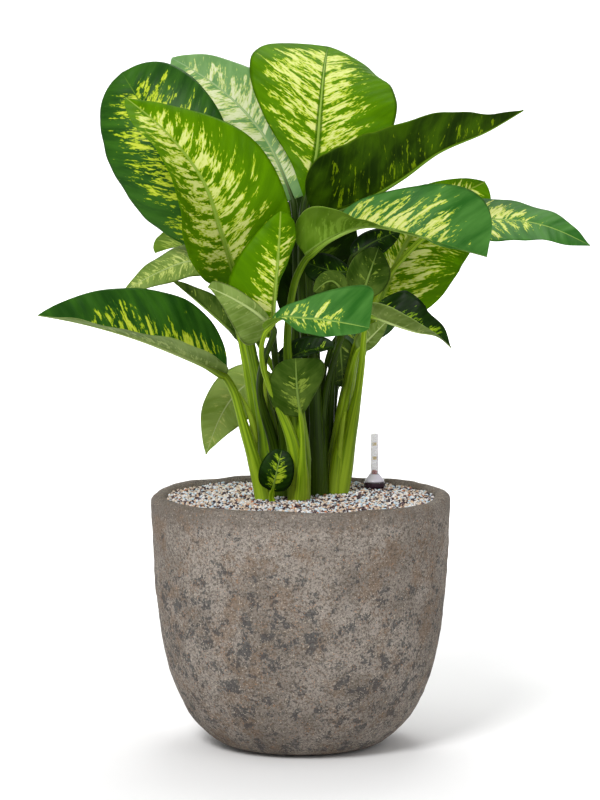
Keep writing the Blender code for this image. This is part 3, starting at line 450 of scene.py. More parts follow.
def ring_faces(rings, count):
    """Quads between closed rings of count points, and the two end caps."""
    faces = []
    last = (rings - 1) * count
    for first in range(0, last, count):
        for i in range(count):
            j = (i + 1) % count
            faces.append((first + i, first + j, first + count + j, first + count + i))
    faces.append(tuple(reversed(range(count))))
    faces.append(tuple(range(last, last + count)))
    return faces


def turned(name, profile, steps, paint, body, node, at=(0.0, 0.0), change=None):
    """Spin a closed profile of (radius, height) points about +Z. Radius 0 makes a pole."""
    points, index = [], []
    angles = np.linspace(0, 2 * np.pi, steps, endpoint=False)
    for r, z in profile:
        if r == 0:
            index.append([len(points)] * steps)
            points.append((at[0], at[1], z))
            continue
        index.append(list(range(len(points), len(points) + steps)))
        for a in angles:
            dr, dz = change(a, r, z) if change else (0.0, 0.0)
            points.append((at[0] + (r + dr) * np.cos(a), at[1] + (r + dr) * np.sin(a), z + dz))
    faces = []
    closed = profile[0][0] > 0 and profile[-1][0] > 0
    pairs = list(zip(index, index[1:])) + ([(index[-1], index[0])] if closed else [])
    for lower, upper in pairs:
        for i in range(steps):
            j = (i + 1) % steps
            faces.append(tuple(dict.fromkeys((lower[i], lower[j], upper[j], upper[i]))))
    face_outwards(new_piece(name, points, faces, [paint], body, [node]))


def finer(profile, spacing):
    """A profile's smooth curve, resampled at about the given spacing."""
    p = np.array([(r, 0.0, z) for r, z in profile])
    found = spline(p, np.linspace(0, 1, max(4, int(path_length(p) / spacing))))
    return [(max(float(r), 0.0), float(z)) for r, _, z in found]


# ---- materials ---------------------------------------------------------------------
def tint(red, green, blue):
    """Linear colour of a screen colour given in 0..255."""
    parts = [c / 255 for c in (red, green, blue)]
    return tuple(c / 12.92 if c <= 0.04045 else ((c + 0.055) / 1.055) ** 2.4 for c in parts)


class Paint:
    """A node material, built up from small steps that each return a socket."""

    def __init__(self, name):
        self.material = bpy.data.materials.new(name)
        self.material.use_nodes = True
        self.tree = self.material.node_tree
        self.shader = self.tree.nodes["Principled BSDF"]
        self.output = self.tree.nodes["Material Output"]

    def put(self, socket, value):
        if isinstance(value, bpy.types.NodeSocket):
            self.tree.links.new(value, socket)
        elif isinstance(value, tuple) and len(value) == 3 and socket.type == "RGBA":
            socket.default_value = (*value, 1.0)
        else:
            socket.default_value = value

    def add(self, kind, **settings):
        node = self.tree.nodes.new(kind)
        for key, value in settings.items():
            setattr(node, key, value)
        return node

    def parts(self, vector):
        """The x, y and z of a vector."""
        split = self.add("ShaderNodeSeparateXYZ")
        self.put(split.inputs[0], vector)
        return split.outputs[0], split.outputs[1], split.outputs[2]

    def attribute(self, name):
        return self.parts(self.add("ShaderNodeAttribute", attribute_name=name).outputs["Vector"])

    def position(self):
        return self.add("ShaderNodeTexCoord").outputs["Object"]

    def filled(self, kind, values, **settings):
        """A node whose first inputs take these values, in order."""
        node = self.add(kind, **settings)
        for socket, value in zip(node.inputs, values):
            self.put(socket, value)
        return node.outputs[0]

    def math(self, operation, a, b=0.0, c=0.0):
        return self.filled("ShaderNodeMath", (a, b, c), operation=operation)

    def times(self, a, b):
        return self.math("MULTIPLY", a, b)

    def plus(self, a, b):
        return self.math("ADD", a, b)

    def scaled(self, value, factor, start):
        """value * factor + start"""
        return self.math("MULTIPLY_ADD", value, factor, start)

    def opposite(self, share):
        """1 - share"""
        return self.math("SUBTRACT", 1.0, share)

    def stretched(self, run, away, chance, run_factor, away_factor=1.0):
        """A place in a noise pattern, from a place on the leaf or stalk."""
        run = self.times(run, run_factor)
        away = away if away_factor == 1.0 else self.times(away, away_factor)
        return self.filled("ShaderNodeCombineXYZ", (run, away, chance))

    def noise(self, where, scale=1.0, detail=2.0, roughness=0.5, distortion=0.0):
        node = self.add("ShaderNodeTexNoise")
        self.put(node.inputs["Vector"], where)
        for key, value in (("Scale", scale), ("Detail", detail), ("Roughness", roughness),
                           ("Distortion", distortion)):
            node.inputs[key].default_value = value
        return node.outputs["Fac"]

    def cells(self, where, scale):
        node = self.add("ShaderNodeTexVoronoi")
        self.put(node.inputs["Vector"], where)
        node.inputs["Scale"].default_value = scale
        return node.outputs["Distance"]

    def step(self, value, low, high):
        """0 below low, 1 above high, and a smooth step between."""
        node = self.add("ShaderNodeMapRange", interpolation_type="SMOOTHSTEP")
        for key, given in (("Value", value), ("From Min", low), ("From Max", high)):
            self.put(node.inputs[key], given)
        return node.outputs["Result"]

    def mix(self, share, a, b):
        node = self.add("ShaderNodeMix", data_type="RGBA")
        for index, value in ((0, share), (6, a), (7, b)):
            self.put(node.inputs[index], value)
        return node.outputs[2]

    def coat(self, colour, mask, share, over):
        """Lay a second colour over the first where the mask is 1, as thick as the share."""
        return self.mix(self.times(mask, share), colour, over)

    def choice(self, value, stops):
        """One plain colour for each span of the value."""
        node = self.add("ShaderNodeValToRGB")
        self.put(node.inputs[0], value)
        node.color_ramp.interpolation = "CONSTANT"
        while len(node.color_ramp.elements) < len(stops):
            node.color_ramp.elements.new(1.0)
        for element, (place, colour) in zip(node.color_ramp.elements, stops):
            element.position = place
            element.color = (*tint(*colour), 1.0)
        return node.outputs[0]

    def bump(self, height, distance, strength):
        node = self.add("ShaderNodeBump")
        node.inputs["Strength"].default_value = strength
        node.inputs["Distance"].default_value = distance
        self.put(node.inputs["Height"], height)
        self.put(self.shader.inputs["Normal"], node.outputs[0])

    def finish(self, colour, roughness, **constants):
        self.put(self.shader.inputs["Base Color"], colour)
        self.put(self.shader.inputs["Roughness"], roughness)
        for key, value in constants.items():
            self.shader.inputs[key.replace("_", " ")].default_value = value
        return self.material

    def let_light_through(self, colour, share):
        """A thin leaf passes part of the light that falls on its other side."""
        back = self.add("ShaderNodeBsdfTranslucent")
        self.put(back.inputs["Color"], colour)
        both = self.add("ShaderNodeMixShader")
        both.inputs[0].default_value = share
        self.put(both.inputs[1], self.shader.outputs[0])
        self.put(both.inputs[2], back.outputs[0])
        self.put(self.output.inputs["Surface"], both.outputs[0])


LOOK_COLOURS = ("deep", "light", "outer", "inner", "rib", "under_deep", "under_light", "under_rib",
                "under_streak")


def look(*colours, veins, shine, rib_width=0.0034):
    """Upper side: two greens, two streak colours and the midrib. Under side: two greens, the veins
    and the streaks that show through. veins is how strongly those veins show."""
    named = {part: tint(*colour) for part, colour in zip(LOOK_COLOURS, colours)}
    return dict(named, veins=veins, shine=shine, rib_width=rib_width)


LOOKS = {
    "lime": look((74, 120, 0), (100, 150, 0), (190, 212, 40), (236, 242, 150), (64, 108, 0),
                 (98, 136, 14), (128, 164, 40), (140, 172, 60), (196, 214, 90),
                 veins=0.10, shine=0.03, rib_width=0.0072),
    "dark": look((26, 72, 6), (62, 116, 22), (172, 200, 16), (222, 232, 74), (62, 112, 26),
                 (26, 48, 0), (64, 98, 2), (96, 132, 14), (136, 166, 10), veins=0.06, shine=0.16),
    "blue": look((44, 104, 30), (88, 146, 62), (196, 216, 60), (238, 242, 150), (104, 152, 62),
                 (86, 124, 16), (122, 156, 48), (150, 182, 78), (140, 176, 60), veins=0.06, shine=0.10),
    "pale": look((104, 152, 84), (140, 182, 112), (198, 218, 116), (240, 244, 200), (140, 184, 128),
                 (92, 120, 56), (134, 158, 92), (168, 190, 126), (176, 196, 122), veins=0.14, shine=0.14),
    "sage": look((104, 134, 48), (142, 168, 80), (184, 200, 96), (214, 224, 136), (160, 182, 96),
                 (98, 124, 46), (140, 164, 84), (172, 190, 118), (176, 192, 112), veins=0.16, shine=0.12),
    # A near-black copy of the dark look: painted deep shade, for leaves deep inside the plant and low under
    # the others.
    "night": look((12, 34, 0), (34, 66, 6), (110, 152, 10), (178, 200, 48), (48, 84, 10),
                  (20, 38, 0), (48, 74, 8), (66, 94, 20), (90, 120, 20), veins=0.05, shine=0.10),
    "shade": look((44, 72, 6), (84, 112, 34), (136, 162, 56), (178, 196, 92), (120, 150, 60),
                  (48, 76, 8), (92, 118, 42), (116, 142, 58), (158, 182, 70), veins=0.08, shine=0.15),
}
LOOKS["spring"] = dict(LOOKS["lime"], rib=tint(150, 178, 60), rib_width=0.0056)
# A lighter copy of sage with stronger veins: painted light on a low leaf that the lamps leave in shade,
# over its own yellowish green.
LOOKS["fresh"] = dict(LOOKS["sage"], deep=tint(138, 168, 64), light=tint(176, 200, 104),
                      under_deep=tint(132, 160, 62), under_light=tint(172, 196, 104),
                      under_rib=tint(202, 218, 144), veins=0.30)
# The dark greens are a painted shade, for stalks and canes in the middle of the plant.
STALK_TONES = {"bright": (tint(94, 126, 2), tint(144, 174, 26), tint(166, 192, 56)),
               "green": (tint(74, 108, 0), tint(116, 148, 12), tint(138, 166, 36)),
               "dark": (tint(24, 44, 0), tint(54, 78, 4), tint(78, 104, 14))}


def streaks(paint, sharp):
    """The ragged cream streaks that run out from the midrib along the veins."""
    vein, away, chance = paint.attribute("vein")
    cream, edge, share = paint.attribute("tone")
    long_at = paint.stretched(vein, away, chance, 128.0, 38.0)
    fine_at = paint.stretched(vein, away, chance, 520.0, 190.0)
    long_noise = paint.noise(long_at, 1.0, 2.5, 0.55, 0.7)
    fine_noise = paint.noise(fine_at, 1.0, 2.0, 0.6)
    score = paint.scaled(paint.math("MINIMUM", cream, 0.62), 0.36, -0.670)
    score = paint.plus(score, long_noise)
    score = paint.plus(score, paint.scaled(fine_noise, 0.50, -0.25))
    mask = paint.step(score, 0.0, sharp)
    return mask, score, vein, away, chance, edge, share, long_at


def midrib_share(paint, away, share, wide):
    """1 on the midrib, which narrows towards the tip."""
    reach = paint.scaled(share, -0.85 * wide, wide)
    distance = paint.math("ABSOLUTE", away)
    return paint.opposite(paint.step(distance, paint.times(reach, 0.6), reach))


def vein_waves(paint, vein):
    return paint.math("SINE", paint.times(vein, 2 * math.pi / VEIN_PITCH))


def leaf_top(name):
    greens = LOOKS[name]
    paint = Paint("leaf_top_" + name)
    mask, score, vein, away, chance, edge, share, long_at = streaks(paint, 0.035)
    blotch = paint.noise(long_at, 0.40, 3.0, 0.55)
    green = paint.mix(paint.step(blotch, 0.28, 0.74), greens["deep"], greens["light"])
    halo = paint.step(score, -0.14, 0.01)
    green = paint.coat(green, halo, 0.55, greens["light"])
    waves = vein_waves(paint, vein)
    lines = paint.step(waves, 0.80, 1.0)
    green = paint.coat(green, lines, 0.07, greens["light"])
    hair = paint.noise(paint.stretched(vein, away, chance, 1600.0, 90.0), 1.0, 1.0)
    green = paint.coat(green, hair, 0.22, greens["deep"])
    streak = paint.mix(paint.step(score, 0.02, 0.17), greens["outer"], greens["inner"])
    colour = paint.mix(mask, green, streak)
    rib = midrib_share(paint, away, share, greens["rib_width"])
    colour = paint.coat(colour, rib, 0.9, greens["rib"])
    colour = paint.mix(paint.step(edge, 0.965, 1.0), colour, greens["light"])
    paint.bump(paint.plus(paint.times(waves, 0.25), paint.times(hair, 0.3)), 0.0004, 0.7)
    paint.finish(colour, paint.scaled(blotch, 0.16, 0.34), Specular_IOR_Level=greens["shine"])
    paint.let_light_through(paint.mix(0.35, colour, greens["light"]), 0.26)
    return paint.material


def leaf_under(name):
    greens = LOOKS[name]
    paint = Paint("leaf_under_" + name)
    mask, _, vein, away, chance, edge, share, _ = streaks(paint, 0.10)
    blotch = paint.noise(paint.stretched(vein, away, chance, 26.0, 24.0), 1.0, 3.0, 0.55)
    green = paint.mix(paint.step(blotch, 0.34, 0.70), greens["under_deep"], greens["under_light"])
    colour = paint.coat(green, mask, 0.75, greens["under_streak"])
    ribs = paint.step(vein_waves(paint, vein), 0.62, 1.0)
    colour = paint.coat(colour, ribs, greens["veins"], greens["under_rib"])
    hair = paint.noise(paint.stretched(vein, away, chance, 1500.0, 80.0), 1.0, 1.0)
    colour = paint.coat(colour, hair, 0.18, greens["under_deep"])
    colour = paint.mix(paint.step(edge, 0.965, 1.0), colour, greens["under_rib"])
    rib = midrib_share(paint, away, share, 0.0040)
    colour = paint.coat(colour, rib, 0.7, greens["under_rib"])
    paint.bump(paint.plus(paint.times(ribs, 0.4), paint.times(hair, 0.3)), 0.0004, 0.8)
    paint.finish(colour, paint.scaled(blotch, 0.15, 0.48), Specular_IOR_Level=0.06)
    paint.let_light_through(colour, 0.22)
    return paint.material


def stalk_paint(name, tones, keel):
    """Fleshy green with faint lengthwise lines; the keel under the blade takes its colour."""
    paint = Paint(name)
    deep, light, base = tones
    run, turn, chance = paint.attribute("vein")
    height, out, _ = paint.attribute("tone")
    lines = paint.noise(paint.stretched(run, turn, chance, 9.0, 3.2), 1.0, 3.0, 0.55)
    patch = paint.noise(paint.stretched(run, turn, chance, 22.0), 1.0, 2.0)
    colour = paint.mix(paint.step(lines, 0.36, 0.66), deep, light)
    colour = paint.coat(colour, paint.step(patch, 0.48, 0.72), 0.35, base)
    colour = paint.coat(colour, paint.step(height, 0.35, 0.0), 0.45, base)
    colour = paint.mix(paint.step(out, 0.0, 0.30), colour, keel)
    paint.bump(lines, 0.0003, 0.6)
    paint.finish(colour, paint.scaled(patch, 0.15, 0.36), Specular_IOR_Level=0.16)
    paint.let_light_through(colour, 0.08)
    return paint.material


# The pit colour also serves as painted shade towards the planter's foot.
CLAY = {"shade": tint(140, 131, 121), "plain": tint(168, 159, 149), "deep": tint(80, 71, 63),
        "rust": tint(128, 104, 82), "slate": tint(66, 70, 73), "rim": tint(116, 107, 98),
        "pit_and_foot_shade": tint(64, 56, 50), "grit": tint(232, 216, 194), "orange": tint(204, 146, 98)}


def clay_paint():
    """Rough grey-brown fibre-clay: gritty all over, with rust-brown and blue-grey blotches."""
    paint = Paint("fibre_clay")
    where = paint.position()
    height = paint.parts(where)[2]
    rim = paint.step(height, 0.270, 0.283)
    crumbs = paint.noise(where, 330.0, 4.0, 0.72)
    ragged = paint.noise(where, 260.0, 3.0, 0.70)
    clouds = paint.noise(where, 15.0, 3.0, 0.6)
    base = paint.mix(paint.step(clouds, 0.35, 0.65), CLAY["shade"], CLAY["plain"])
    hollows = paint.opposite(paint.step(crumbs, 0.40, 0.54))
    base = paint.coat(base, hollows, 0.66, CLAY["deep"])

    def blotches(shift, scale, low, high, lean):
        """Clusters of small ragged patches; lean is how far height raises their number."""
        off = paint.filled("ShaderNodeVectorMath", (where, shift), operation="ADD")
        patch = paint.plus(paint.noise(off, scale, 3.0, 0.6, 0.3), lean)
        patch = paint.plus(patch, paint.scaled(ragged, 0.70, -0.35))
        return paint.step(patch, low, high)

    middle = paint.opposite(paint.step(height, 0.19, 0.25))
    rust = blotches((1.3, 4.1, 0.7), 30.0, 0.50, 0.64, 0.0)
    base = paint.coat(base, rust, 0.50, CLAY["rust"])
    dark = blotches((3.1, 1.7, 5.3), 66.0, 0.535, 0.610, paint.scaled(middle, 0.090, -0.090))
    base = paint.coat(base, dark, 0.72, CLAY["slate"])
    base = paint.coat(base, rim, 0.48, CLAY["rim"])
    # Painted shade: the clay darkens towards the foot, where less light reaches the wall.
    foot = paint.opposite(paint.step(height, 0.02, 0.17))
    base = paint.coat(base, foot, 0.20, CLAY["pit_and_foot_shade"])
    pits = paint.noise(where, 620.0, 3.0, 0.75)
    base = paint.coat(base, paint.step(pits, 0.53, 0.63), 0.64, CLAY["pit_and_foot_shade"])
    grit = paint.opposite(paint.step(paint.cells(where, 430.0), 0.20, 0.36))
    grit = paint.times(grit, paint.step(paint.noise(where, 300.0, 2.0), 0.50, 0.58))
    fleck = paint.mix(paint.step(paint.noise(where, 90.0, 1.0), 0.50, 0.54), CLAY["grit"],
                      CLAY["orange"])
    base = paint.coat(base, grit, 0.50, fleck)
    paint.bump(paint.plus(paint.times(pits, -0.9), paint.times(crumbs, 1.2)), 0.0016, 1.0)
    return paint.finish(base, paint.scaled(pits, 0.15, 0.82), Specular_IOR_Level=0.2)


# From which draw on (0..1) a stone has which colour.
STONES = [(0.00, (224, 206, 186)), (0.20, (248, 242, 238)), (0.34, (200, 222, 236)),
          (0.47, (102, 78, 82)), (0.58, (48, 30, 40)), (0.80, (214, 182, 152)),
          (0.89, (228, 234, 240)), (0.97, (190, 118, 76))]


def granule_paint():
    paint = Paint("mixed_granules")
    kind, shade, _ = paint.attribute("stone")
    colour = paint.choice(kind, STONES)
    speck = paint.noise(paint.position(), 900.0, 2.0, 0.6)
    colour = paint.coat(colour, paint.step(speck, 0.5, 0.7), 0.20, tint(96, 86, 84))
    colour = paint.coat(colour, shade, 0.18, tint(120, 108, 100))
    paint.bump(speck, 0.0003, 0.6)
    return paint.finish(colour, paint.scaled(speck, 0.2, 0.7))


def earth_paint(name, deep, light):
    paint = Paint(name)
    crumbs = paint.noise(paint.position(), 260.0, 4.0, 0.7)
    colour = paint.mix(paint.step(crumbs, 0.35, 0.7), deep, light)
    paint.bump(crumbs, 0.001, 1.0)
    return paint.finish(colour, paint.scaled(crumbs, 0.1, 0.85))


def moulded(name, colour, roughness, mottle=0.12, **constants):
    """Smooth moulded plastic or glass, with a faint unevenness."""
    paint = Paint(name)
    cloud = paint.noise(paint.position(), 220.0, 2.0, 0.5)
    darker = tuple(c * (1 - mottle) for c in colour)
    return paint.finish(paint.mix(cloud, colour, darker), paint.scaled(cloud, 0.08, roughness),
                        **constants)


# ---- leaves ------------------------------------------------------------------------
def blade_mesh(design, chance):
    """The closed blade: points, faces, 0 or 1 for each upper or under face, and the values that
    its paint reads: place among the veins, and amount of cream, place across and place along."""
    amount, reach_left, reach_right, wave = design["pattern"]
    length = path_length(design["midrib"])
    rows = int(np.clip(length / STATION_STEP, *STATIONS))
    t = 1 - (1 - np.linspace(BLADE_START, 1.0, rows)) ** TIP_CROWDING
    at = blade_frame(design, t)
    columns = int(np.clip((design["left"][0] + design["right"][0]) / COLUMN_STEP / 2, *COLUMNS))
    spread = np.linspace(-1, 1, 2 * columns + 1)
    chances = np.random.default_rng(int(chance * 1000))
    phase = chances.uniform(0, 2 * np.pi, (2, 3))
    lengths = chances.uniform(*WAVE_LENGTHS, 2)
    fine = float(np.clip(FINE_WIDTH / max(design["left"][0], design["right"][0]), 1.0, 2.0))
    top, under, veins, tones = [], [], [], []
    for v in spread:
        v = 0.0 if abs(v) < 1e-9 else float(v)
        point, outward, width = blade_point(design, at, t, v)
        side = 1 if v > 0 else 0
        away = width * abs(v)
        run = t * length
        vein = run - VEIN_SWEEP * away - VEIN_CURL * away ** 2
        ripple = np.sin(2 * np.pi * run / lengths[side] + phase[side, 0])
        ripple += 0.55 * np.sin(2 * np.pi * run / (lengths[side] * 0.43) + phase[side, 1])
        calm = smooth(0.0, 0.15, t) * (1 - smooth(0.86, 1.0, t))
        lift = wave * abs(v) ** 2.2 * ripple * calm
        quilt = QUILT_HEIGHT * np.sin(2 * np.pi * vein * fine / VEIN_PITCH) * abs(v) * (1.12 - abs(v))
        lift = lift + quilt * smooth(0.0, 0.1, t) * np.minimum(1, width / 0.03)
        groove = GROOVE_DEPTH * np.exp(-(away / GROOVE_WIDTH) ** 2) * (1 - t) ** 0.4
        thick = between(BLADE_EDGE, BLADE_MIDDLE, (1 - abs(v)) ** 0.7)
        surface = point + outward * lift[:, None]
        top.append(surface - outward * groove[:, None])
        under.append(surface - outward * thick)
        reach = reach_right if v > 0 else reach_left
        density = amount * np.clip(1.04 - (abs(abs(v) - CREAM_CENTRE) / reach) ** 1.5, -1, 1)
        density = density * smooth(0.02, 0.14, t)
        density = density - (amount + 0.3) * smooth(*design["fade"], t)
        density = np.where(t > 0.9, density - 3 * (t - 0.9), density)
        veins.append(np.stack([vein * fine, away * fine * (1 if v > 0 else -1),
                               np.full(rows, chance)], axis=-1))
        tones.append(np.stack([density, np.full(rows, abs(v)), t], axis=-1))
    loops = top + under[-2:0:-1]
    across = len(top)
    count = len(loops)
    points = np.stack(loops, axis=1).reshape(-1, 3)
    vein_at = np.stack(veins + veins[-2:0:-1], axis=1).reshape(-1, 3)
    tone_at = np.stack(tones + tones[-2:0:-1], axis=1).reshape(-1, 3)
    faces = ring_faces(rows, count)
    kinds = [0 if i % count < across - 1 else 1 for i in range(count * (rows - 1))] + [1, 1]
    return points, faces, kinds, vein_at, tone_at


def cane_under(design):
    """The cane whose top is under a stalk's foot, or None for a shoot out of the granules."""
    foot = np.asarray(design["stalk"][0], float)
    if foot[2] < GRANULE_TOP:
        return None
    return min(CANES.values(), key=lambda cane: 3 * abs(cane.top_z + 0.0005 - foot[2])
               + np.hypot(cane.top_x - foot[0], cane.top_y - foot[1]))


def relaxed(centre, rows):
    """The same path without its small bends; the foot and the blade's end stay put."""
    share = np.linspace(0, 1, rows)
    hold = smooth(0.0, 0.12, share) * (1 - smooth(0.86, 1.0, share))
    for _ in range(int(rows * rows / 22)):
        middle = (centre[:-2] + centre[2:]) / 2
        centre[1:-1] += (middle - centre[1:-1]) * 0.5 * hold[1:-1, None]
    return centre


def stalk_mesh(design, chance):
    """Sheath, stalk and the keel under the midrib, as one tapered closed tube."""
    cane = cane_under(design)
    stalk = [np.asarray(p, float) for p in design["stalk"]]
    swell = STALK_SWELL if max(design["left"][0], design["right"][0]) > LARGE_LEAF else 1.0
    lower, upper_radius = (radius * swell for radius in design["radii"])
    first = np.asarray(design["midrib"][0], float)
    _, ahead, side, _ = blade_frame(design, np.array([0.0]))
    bend = first - ahead[0] * BEND_REACH
    flare = lower * SHOOT_FLARE
    path = stalk + [bend, first]
    if cane is not None:
        foot = np.array([cane.foot_x, cane.foot_y, CANE_FOOT])
        lean = stalk[0] - np.array([cane.top_x, cane.top_y, stalk[0][2]])
        path = [foot + lean * 0.6] + path
        flare = min(cane.foot_radius * 0.92, lower * WIDEST_FLARE)
    length = path_length(path)
    rows = max(10, int(length / STALK_STEP))
    s = np.linspace(0, 1, rows)
    centre = relaxed(spline(path, s), rows)
    tangent = unit(np.gradient(centre, axis=0))
    stem = between(lower, upper_radius, s)
    sheath = 1 - smooth(0.05, SHEATH_END, s)
    radius = between(stem, flare, sheath)
    sideways = side[0]
    frames = []
    for i in reversed(range(rows)):
        sideways = unit(sideways - tangent[i] * np.dot(sideways, tangent[i]))
        frames.append((sideways, np.cross(sideways, tangent[i])))
    frames = frames[::-1]
    centre = centre - frames[-1][1] * (0.72 * radius * smooth(1 - 0.035 / length, 1.0, s))[:, None]
    turns = np.linspace(0, 2 * np.pi, STALK_SIDES, endpoint=False)
    from_top = np.abs((turns - np.pi / 2 + np.pi) % (2 * np.pi) - np.pi)
    points, veins, tones = [], [], []

    def ring(middle_at, across_at, up_at, size, groove, run, share, height, out=0.0):
        shape = 1 - groove * np.exp(-(from_top / 0.42) ** 2)
        shape = shape + groove * 0.25 * np.exp(-((from_top - 0.85) / 0.22) ** 2)
        for turn, scale in zip(turns, shape):
            points.append(middle_at + size * scale * (np.cos(turn) * across_at + np.sin(turn) * up_at))
            veins.append((run, mirrored(turn), chance))
            tones.append((height, out, share))

    for i in range(rows):
        wobble = 1 + 0.03 * np.sin(s[i] * 23 + chance * 5)
        groove = 0.16 + 0.20 * sheath[i]
        ring(centre[i], frames[i][0], frames[i][1], radius[i] * wobble, groove, s[i] * length,
             s[i], s[i])
    blade_length = path_length(design["midrib"])
    t = np.linspace(0, 0.985, max(12, int(blade_length / 0.005)))[1:]
    middle, _, side, upward = blade_frame(design, t)
    for i in range(len(t)):
        slim = 1 - 0.45 * float(smooth(0.0, 0.16, t[i]))
        size = upper_radius * 0.95 * slim * (1 - t[i]) ** 1.1 + 0.00035
        groove = 0.16 * (1 - smooth(0.0, 0.1, t[i]))
        ring(middle[i] - upward[i] * (size * 0.72 + 0.0003), side[i], upward[i], size, groove,
             length + t[i] * blade_length, 1.0, 1.0, t[i])
    return points, ring_faces(rows + len(t), STALK_SIDES), veins, tones


def stalk_surface(dark, under, number, made):
    """The stalk's paint: its own greens, with the keel in the colour of the under side's veins."""
    # Stalks in the middle of the plant take the dark greens: painted shade.
    kind = "dark" if dark else ("bright", "green")[number % 2]
    key = "stalk_%s_%s" % (kind, under)
    if key not in made:
        made[key] = stalk_paint(key, STALK_TONES[kind], LOOKS[under]["under_rib"])
    return made[key]


def build_leaf(design, number, tops, unders, stalks):
    chance = 1.37 * number + 0.61
    points, faces, kinds, veins, tones = blade_mesh(design, chance)
    more, more_faces, more_veins, more_tones = stalk_mesh(design, chance)
    first = len(points)
    faces = faces + [tuple(first + i for i in face) for face in more_faces]
    kinds = kinds + [2] * len(more_faces)
    points = np.concatenate([points, more])
    top, under = design["looks"]
    stalk = stalk_surface(design["dark_stalk"], under, number, stalks)
    green_piece(design["name"] + "_growth", points, faces, [tops[top], unders[under], stalk],
                np.concatenate([veins, more_veins]), np.concatenate([tones, more_tones]),
                [design["name"]], kinds)


# Loose pointed tips of old sheaths: foot, middle and tip of each, its face and half-width.
SHEATH_TIPS = {
    "sheath_tip_left": ([(-0.051, 0.004, 0.354), (-0.058, -0.001, 0.386), (-0.072, -0.004, 0.414)],
                        [(0.3, -1, 0)], 0.0050),
    "sheath_tip_front": ([(-0.040, 0.004, 0.379), (-0.043, -0.002, 0.422), (-0.040, -0.001, 0.458)],
                         [(0.2, -1, 0)], 0.0060),
    "sheath_tip_right": ([(0.043, 0.027, 0.324), (0.046, 0.022, 0.360), (0.052, 0.019, 0.389)],
                         [(-0.4, -1, 0)], 0.0050),
}


def build_sheath_tips(surface):
    for number, (name, (midrib, face, width)) in enumerate(SHEATH_TIPS.items()):
        side = (width, 0.35, 0.8, (-30, -10), (-75, -30))
        design = dict(midrib=midrib, face=face, left=side, right=side, pattern=(0, 1, 1, 0.0004),
                      fade=CREAM_FADE)
        points, faces, _, veins, tones = blade_mesh(design, 60.3 + number)
        green_piece(name, points, faces, [surface], veins, tones * (0, 0, 1))


def build_canes(surface, dark_surface):
    turns = np.linspace(0, 2 * np.pi, CANE_SIDES, endpoint=False)
    for number, (name, cane) in enumerate(CANES.items()):
        points, veins, tones = [], [], []
        for share in np.arange(CANE_RINGS) / (CANE_RINGS - 1):
            z = between(CANE_FOOT, cane.top_z + CANE_BUD, share)
            scar = math.exp(-(((z - CANE_FOOT) % SCAR_PITCH - 0.010) / SCAR_WIDTH) ** 2)
            radius = between(cane.foot_radius, cane.top_radius, share)
            radius *= (0.97 + 0.035 * scar) * (1 - 0.86 * float(smooth(0.35, 1.0, share)))
            x = between(cane.foot_x, cane.top_x, share)
            y = between(cane.foot_y, cane.top_y, share)
            for turn in turns:
                bulge = radius * (1 + 0.02 * math.sin(3 * turn + number))
                points.append((x + bulge * math.cos(turn), y + bulge * math.sin(turn), z))
                veins.append((z, mirrored(turn), 3.3 * number))
                tones.append((share, 0.0, 0.0))
        # The canes in the middle and at the back get painted shade.
        paint = dark_surface if name in DARK_CANES else surface
        faces = ring_faces(CANE_RINGS, CANE_SIDES)
        green_piece(name + "_stem", points, faces, [paint], veins, tones, [name])


# ---- planter and fill --------------------------------------------------------------
def fractal(x, y, z, scale, octaves):
    return noise.fractal(Vector((x, y, z)) * scale, 0.8, 2.1, octaves)


def clay_change(angle, radius, height):
    """The hand-finished unevenness of the clay: soft dents, a rough skin, a wandering lip."""
    x, y = radius * math.cos(angle), radius * math.sin(angle)
    outside = radius > LIP_RADIUS or height < FLOOR_TOP * 0.9 and radius > 0.079
    near_floor = float(smooth(0.0, 0.012, height))
    near_lip = float(smooth(0.262, 0.292, height))
    dent = DENT_HEIGHT * fractal(x, y, height, 14.0, 3)
    skin = SKIN_HEIGHT * fractal(x, y, height, 95.0, 4)
    out = (dent + skin) * near_floor
    lip = 0.0010 * math.sin(3 * angle + 0.8) + 0.0007 * math.sin(7 * angle + 2.1)
    lip += 0.0012 * fractal(x, y, 0.0, 22.0, 2)
    if not outside:
        out = out * 0.6 - near_lip * (0.0012 + 0.0012 * fractal(x, y, 3.0, 18.0, 2))
    return out, lip * near_lip


def build_planter(surface):
    lip = []
    for turn in np.radians(np.linspace(180, 0, 15)):
        lip.append((LIP_RADIUS + LIP_ROUND * math.cos(turn),
                    PLANTER_HEIGHT - LIP_ROUND + LIP_ROUND * math.sin(turn) - 0.0012))
    inner = finer(INNER_SIDE + [(LIP_RADIUS - LIP_ROUND, PLANTER_HEIGHT - LIP_ROUND - 0.004)], 0.006)
    outer = finer([(LIP_RADIUS + LIP_ROUND, PLANTER_HEIGHT - LIP_ROUND - 0.004)] + OUTER_SIDE, 0.0024)
    profile = [(0.0, FLOOR_TOP)] + inner + lip + outer[:-1] + [(0.080, 0.0), (0.04, 0.0), (0.0, 0.0)]
    turned("planter_clay", profile, PLANTER_STEPS, surface, PLANT, "planter",
           change=clay_change)


def wall_radius(height):
    sides = [(z, r) for r, z in INNER_SIDE]
    sides.append((PLANTER_HEIGHT - LIP_ROUND, LIP_RADIUS - LIP_ROUND))
    return float(np.interp(height, [z for z, _ in sides], [r for _, r in sides]))


def round_stones(rng):
    """A few irregular pebbles, each 12 points and 20 faces, about 1 across."""
    shape = bmesh.new()
    bmesh.ops.create_icosphere(shape, subdivisions=1, radius=0.5)
    points = np.array([v.co[:] for v in shape.verts])
    faces = np.array([[v.index for v in f.verts] for f in shape.faces])
    shape.free()
    kinds = []
    for _ in range(14):
        stretch = rng.uniform((0.85, 0.75, 0.60), (1.25, 1.0, 0.95))
        kinds.append(points * stretch * rng.uniform(0.82, 1.15, (len(points), 1)))
    return kinds, faces


